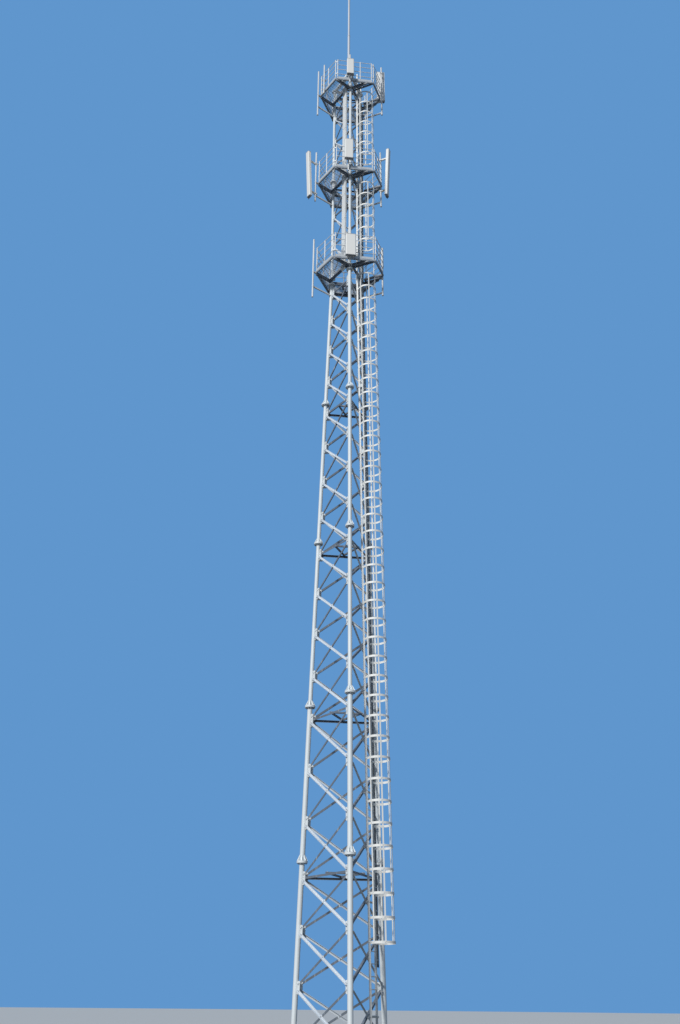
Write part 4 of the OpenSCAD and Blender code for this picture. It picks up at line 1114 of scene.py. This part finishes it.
# %% Pipe straps
SHELL_T, SADDLE_T, SADDLE_H = 0.004, 0.0123, 0.030
rim_z, arm_z = -GRATING_T - RIM_H / 2, ARM_W / 2 - ARM_DROP
holds = [(pipe, z, half) for pipe, low, high in left_pipes + right_pipes
         for z, half in ((rim_z, 0.030), (arm_z, ARM_W / 2))]
holds += [(pipe, z, 0.025) for pipe, low, high in edge_pipes for z in (rim_z, RAIL_H / 2)]
straps, heads = bmesh.new(), bmesh.new()
for pipe, z, half in holds:
    hold = pipe @ moved(0, 0, z)
    stack(straps, hold, (20, PIPE_D + 2 * SHELL_T, -SADDLE_H / 2, SADDLE_H / 2))
    for side, away in both_sides:
        slab(straps, hold, (SHELL_T, 0.046, SADDLE_H), (side * (half + SHELL_T / 2), 0.028, 0))
        stamp(heads, rim_head, hold @ moved(side * (half + SHELL_T), 0.038) @ away)
for floor_z in FLOORS:
    for leg in range(3):
        for drop in (-0.083, -0.047):
            spot = moved(0, -leg_radius(floor_z) - SADDLE_T, drop)
            stamp(heads, rim_head, leg_place(leg, floor_z) @ spot @ outwards)
        for turn_deg in (-25, 25) if leg else ():
            spot = turned(turn_deg) @ moved(0, -leg_radius(floor_z + arm_z) - SADDLE_T)
            stamp(heads, rim_head, leg_place(leg, floor_z + arm_z) @ spot @ outwards)
piece_from(straps, "pipe_straps", pipe_zinc)
piece_from(heads, "pipe_bolts", bolt_zinc)

# %% [markdown]
# An aerial is a long cover with a cap at each end. Under the lower cap sit its connectors, closed with
# rubber boots, and behind it two brackets grip the pipe with long bolts. Two of the aerials lean a few
# degrees forward.


# %% Aerial fittings
def rounded_plate(bm, local, width, depth, corner, low, high):
    """A plate with two rounded front corners, the same outline as an aerial's cover."""
    outline = [Vector((-width / 2, 0.002, low))]
    for side, start in ((-1, 180), (1, 270)):
        for n in range(7):
            a = math.radians(start + 15 * n)
            x = side * (width / 2 - corner) + corner * math.cos(a)
            outline.append(Vector((x, corner - depth + corner * math.sin(a), low)))
    outline.append(Vector((width / 2, 0.002, low)))
    face = bm.faces.new([bm.verts.new(local @ point) for point in outline])
    grown = bmesh.ops.extrude_face_region(bm, geom=[face])["geom"]
    rise = local.to_3x3() @ Vector((0, 0, high - low))
    bmesh.ops.translate(bm, verts=[v for v in grown if isinstance(v, bmesh.types.BMVert)], vec=rise)


aerials = [
    (edge_pipes[0][0], -0.100, 0.950, 0.360, 0.050, 0),
    (edge_pipes[1][0], 0.230, 0.970, 0.320, 0.050, 0),
    (edge_pipes[2][0], 0.050, 0.850, 0.280, 0.050, 0),
    (left_pipes[1][0], -0.940, 2.200, 0.190, 0.180, 3),
    (right_pipes[1][0], -0.480, 2.350, 0.210, 0.150, 2.5),
    (right_pipes[2][0] @ turned(120), 0.180, 1.700, 0.320, 0.110, 0),
]
GRIP, GRIP_H, PLUG_PITCH, PLUG_Y = PIPE_D / 2 + 0.014, 0.060, 0.056, -0.058
grip_bolt = bolt_template("grip_bolt", 0.010, 0.016, 2 * GRIP, 0.020, 0.003)
pivot_bolt = bolt_template("pivot_bolt", 0.012, 0.019, 0.050, 0.008, 0.003)
caps, connectors, boots, bolts = bmesh.new(), bmesh.new(), bmesh.new(), bmesh.new()
for pipe, foot, height, width, stand, tilt_deg in aerials:
    back = pipe @ moved(0, -PIPE_D / 2 - stand, foot) @ turned(tilt_deg, "X")
    for low, high in ((-0.006, 0.014), (height - 0.014, height + 0.006)):
        rounded_plate(caps, back, width + 0.005, 0.1125, 0.037, low, high)
    count = round(width / 0.07)
    for n in range(count):
        spot = back @ moved((n - (count - 1) / 2) * PLUG_PITCH, PLUG_Y)
        stack(connectors, spot, (8, 0.030, -0.014, -0.006), (12, 0.022, -0.038, -0.014))
        stack(boots, spot, (12, 0.030, -0.086, -0.030), (12, 0.015, -0.100, -0.086, 2.0))
    for z in (height * 0.12, height * 0.82):
        reach = PIPE_D / 2 + stand + (z + GRIP_H) * math.tan(math.radians(tilt_deg)) + 0.006
        bracket = pipe @ moved(0, 0, foot + z + GRIP_H / 2)
        for x in (-0.037, 0.037):
            stamp(bolts, grip_bolt, *[bracket @ moved(x, -GRIP, up) @ outwards for up in (-0.018, 0.018)])
        stamp(bolts, pivot_bolt, bracket @ moved(0.025, -(reach + GRIP) / 2) @ rightwards)
whip = right_pipes[0][0] @ moved(0, 0, right_pipes[0][2])
stack(caps, whip, (24, 0.094, 0.862, 0.884), (24, 0.094, 0.884, 0.896, 0.72))
stack(connectors, whip, (24, 0.096, -0.004, 0.036), (24, 0.070, -0.034, -0.004))
for turn_deg in (0, 120, 240):
    stamp(bolts, cage_head, whip @ turned(turn_deg) @ moved(0, -0.048, 0.016) @ outwards)
bmesh.ops.recalc_face_normals(caps, faces=caps.faces)
piece_from(caps, "aerial_caps", cap_skin)
piece_from(connectors, "aerial_connectors", bolt_zinc)
piece_from(boots, "aerial_boots", boot_skin)
piece_from(bolts, "aerial_bolts", bolt_zinc)

# %% [markdown]
# The triangular frame on top of the mast is bolted through the three top flanges. Its stays end on small
# foot plates, screws clamp the rod in its socket, and collars hide the steps in the rod's thickness.

# %% Top frame and rod
TOP_T, ROD_D, FOOT_PLATE, FOOT_BOLT, TAB_R = 0.016, 0.100, 0.008, 0.034, 0.083
top_bolt = bolt_template("top_bolt", 0.020, 0.030, TOP_T + FLANGE_T, washer=0.003)
spots = [(0, -0.080), (-TAB_R / 2, TAB_R * math.cos(math.pi / 6)), (TAB_R / 2, TAB_R * math.cos(math.pi / 6))]
plates, bolts, collars = bmesh.new(), bmesh.new(), bmesh.new()
for leg in range(3):
    foot = leg_place(leg, FLANGES[7] + TOP_T)
    stamp(bolts, top_bolt, *[foot @ moved(x, y) for x, y in spots])
    slab(plates, foot, (0.086, 0.086, FOOT_PLATE), (0, 0, FOOT_PLATE / 2))
    for x in (-FOOT_BOLT, FOOT_BOLT):
        stamp(bolts, rim_head, *[foot @ moved(x, y, FOOT_PLATE) for y in (-FOOT_BOLT, FOOT_BOLT)])
tower_top = at_axis @ moved(0, 0, FLANGES[7])
for turn_deg in (0, 120, 240):
    socket = tower_top @ turned(turn_deg)
    stamp(bolts, arm_head, *[socket @ moved(0, -0.075, z) @ outwards for z in (0.700, 0.940)])
for row in (
    (0.156, 0.637, 0.652), (0.156, 0.985, 1.003), (0.128, 1.003, 1.032, 0.80), (ROD_D + 0.010, 3.170, 3.204),
    (ROD_D + 0.010, 3.204, 3.228, 0.79), (0.090, 5.590, 5.606),
):
    stack(collars, tower_top, (28, *row))
piece_from(plates, "stay_feet", leg_zinc)
piece_from(bolts, "top_frame_bolts", bolt_zinc)
piece_from(collars, "rod_collars", rod_zinc)

# %% [markdown]
# The studio floor is one large pale sheet under the feet, and it belongs to the stage, not to the mast.
# What it throws back up is kept lower than what the eye sees of it, so that beams and floors stay dark from
# below.

# %% Floor
FLOOR_RADIUS = 300.0
bm = bmesh.new()
sunk = at_axis @ moved(0, 0, -0.002)
bmesh.ops.create_circle(bm, cap_ends=True, segments=64, radius=FLOOR_RADIUS, matrix=sunk)
floor = bpy.data.objects.new("studio_floor", template_from(bm, "studio_floor"))
floor_paint = bpy.data.materials.new("studio_floor")
floor_paint.use_nodes = True
floor_tree = floor_paint.node_tree
floor_shader = floor_tree.nodes["Principled BSDF"].inputs
floor_shader["Roughness"].default_value = 0.9
seen_floor = make(floor_tree, "ShaderNodeLightPath").outputs["Is Camera Ray"]
feed(floor_tree, floor_shader["Base Color"], blend(
    floor_tree, seen_floor, (0.13, 0.15, 0.16, 1), (0.62, 0.65, 0.67, 1),
))
floor.data.materials.append(floor_paint)
scene.collection.objects.link(floor)
print("floor radius", FLOOR_RADIUS, "m")
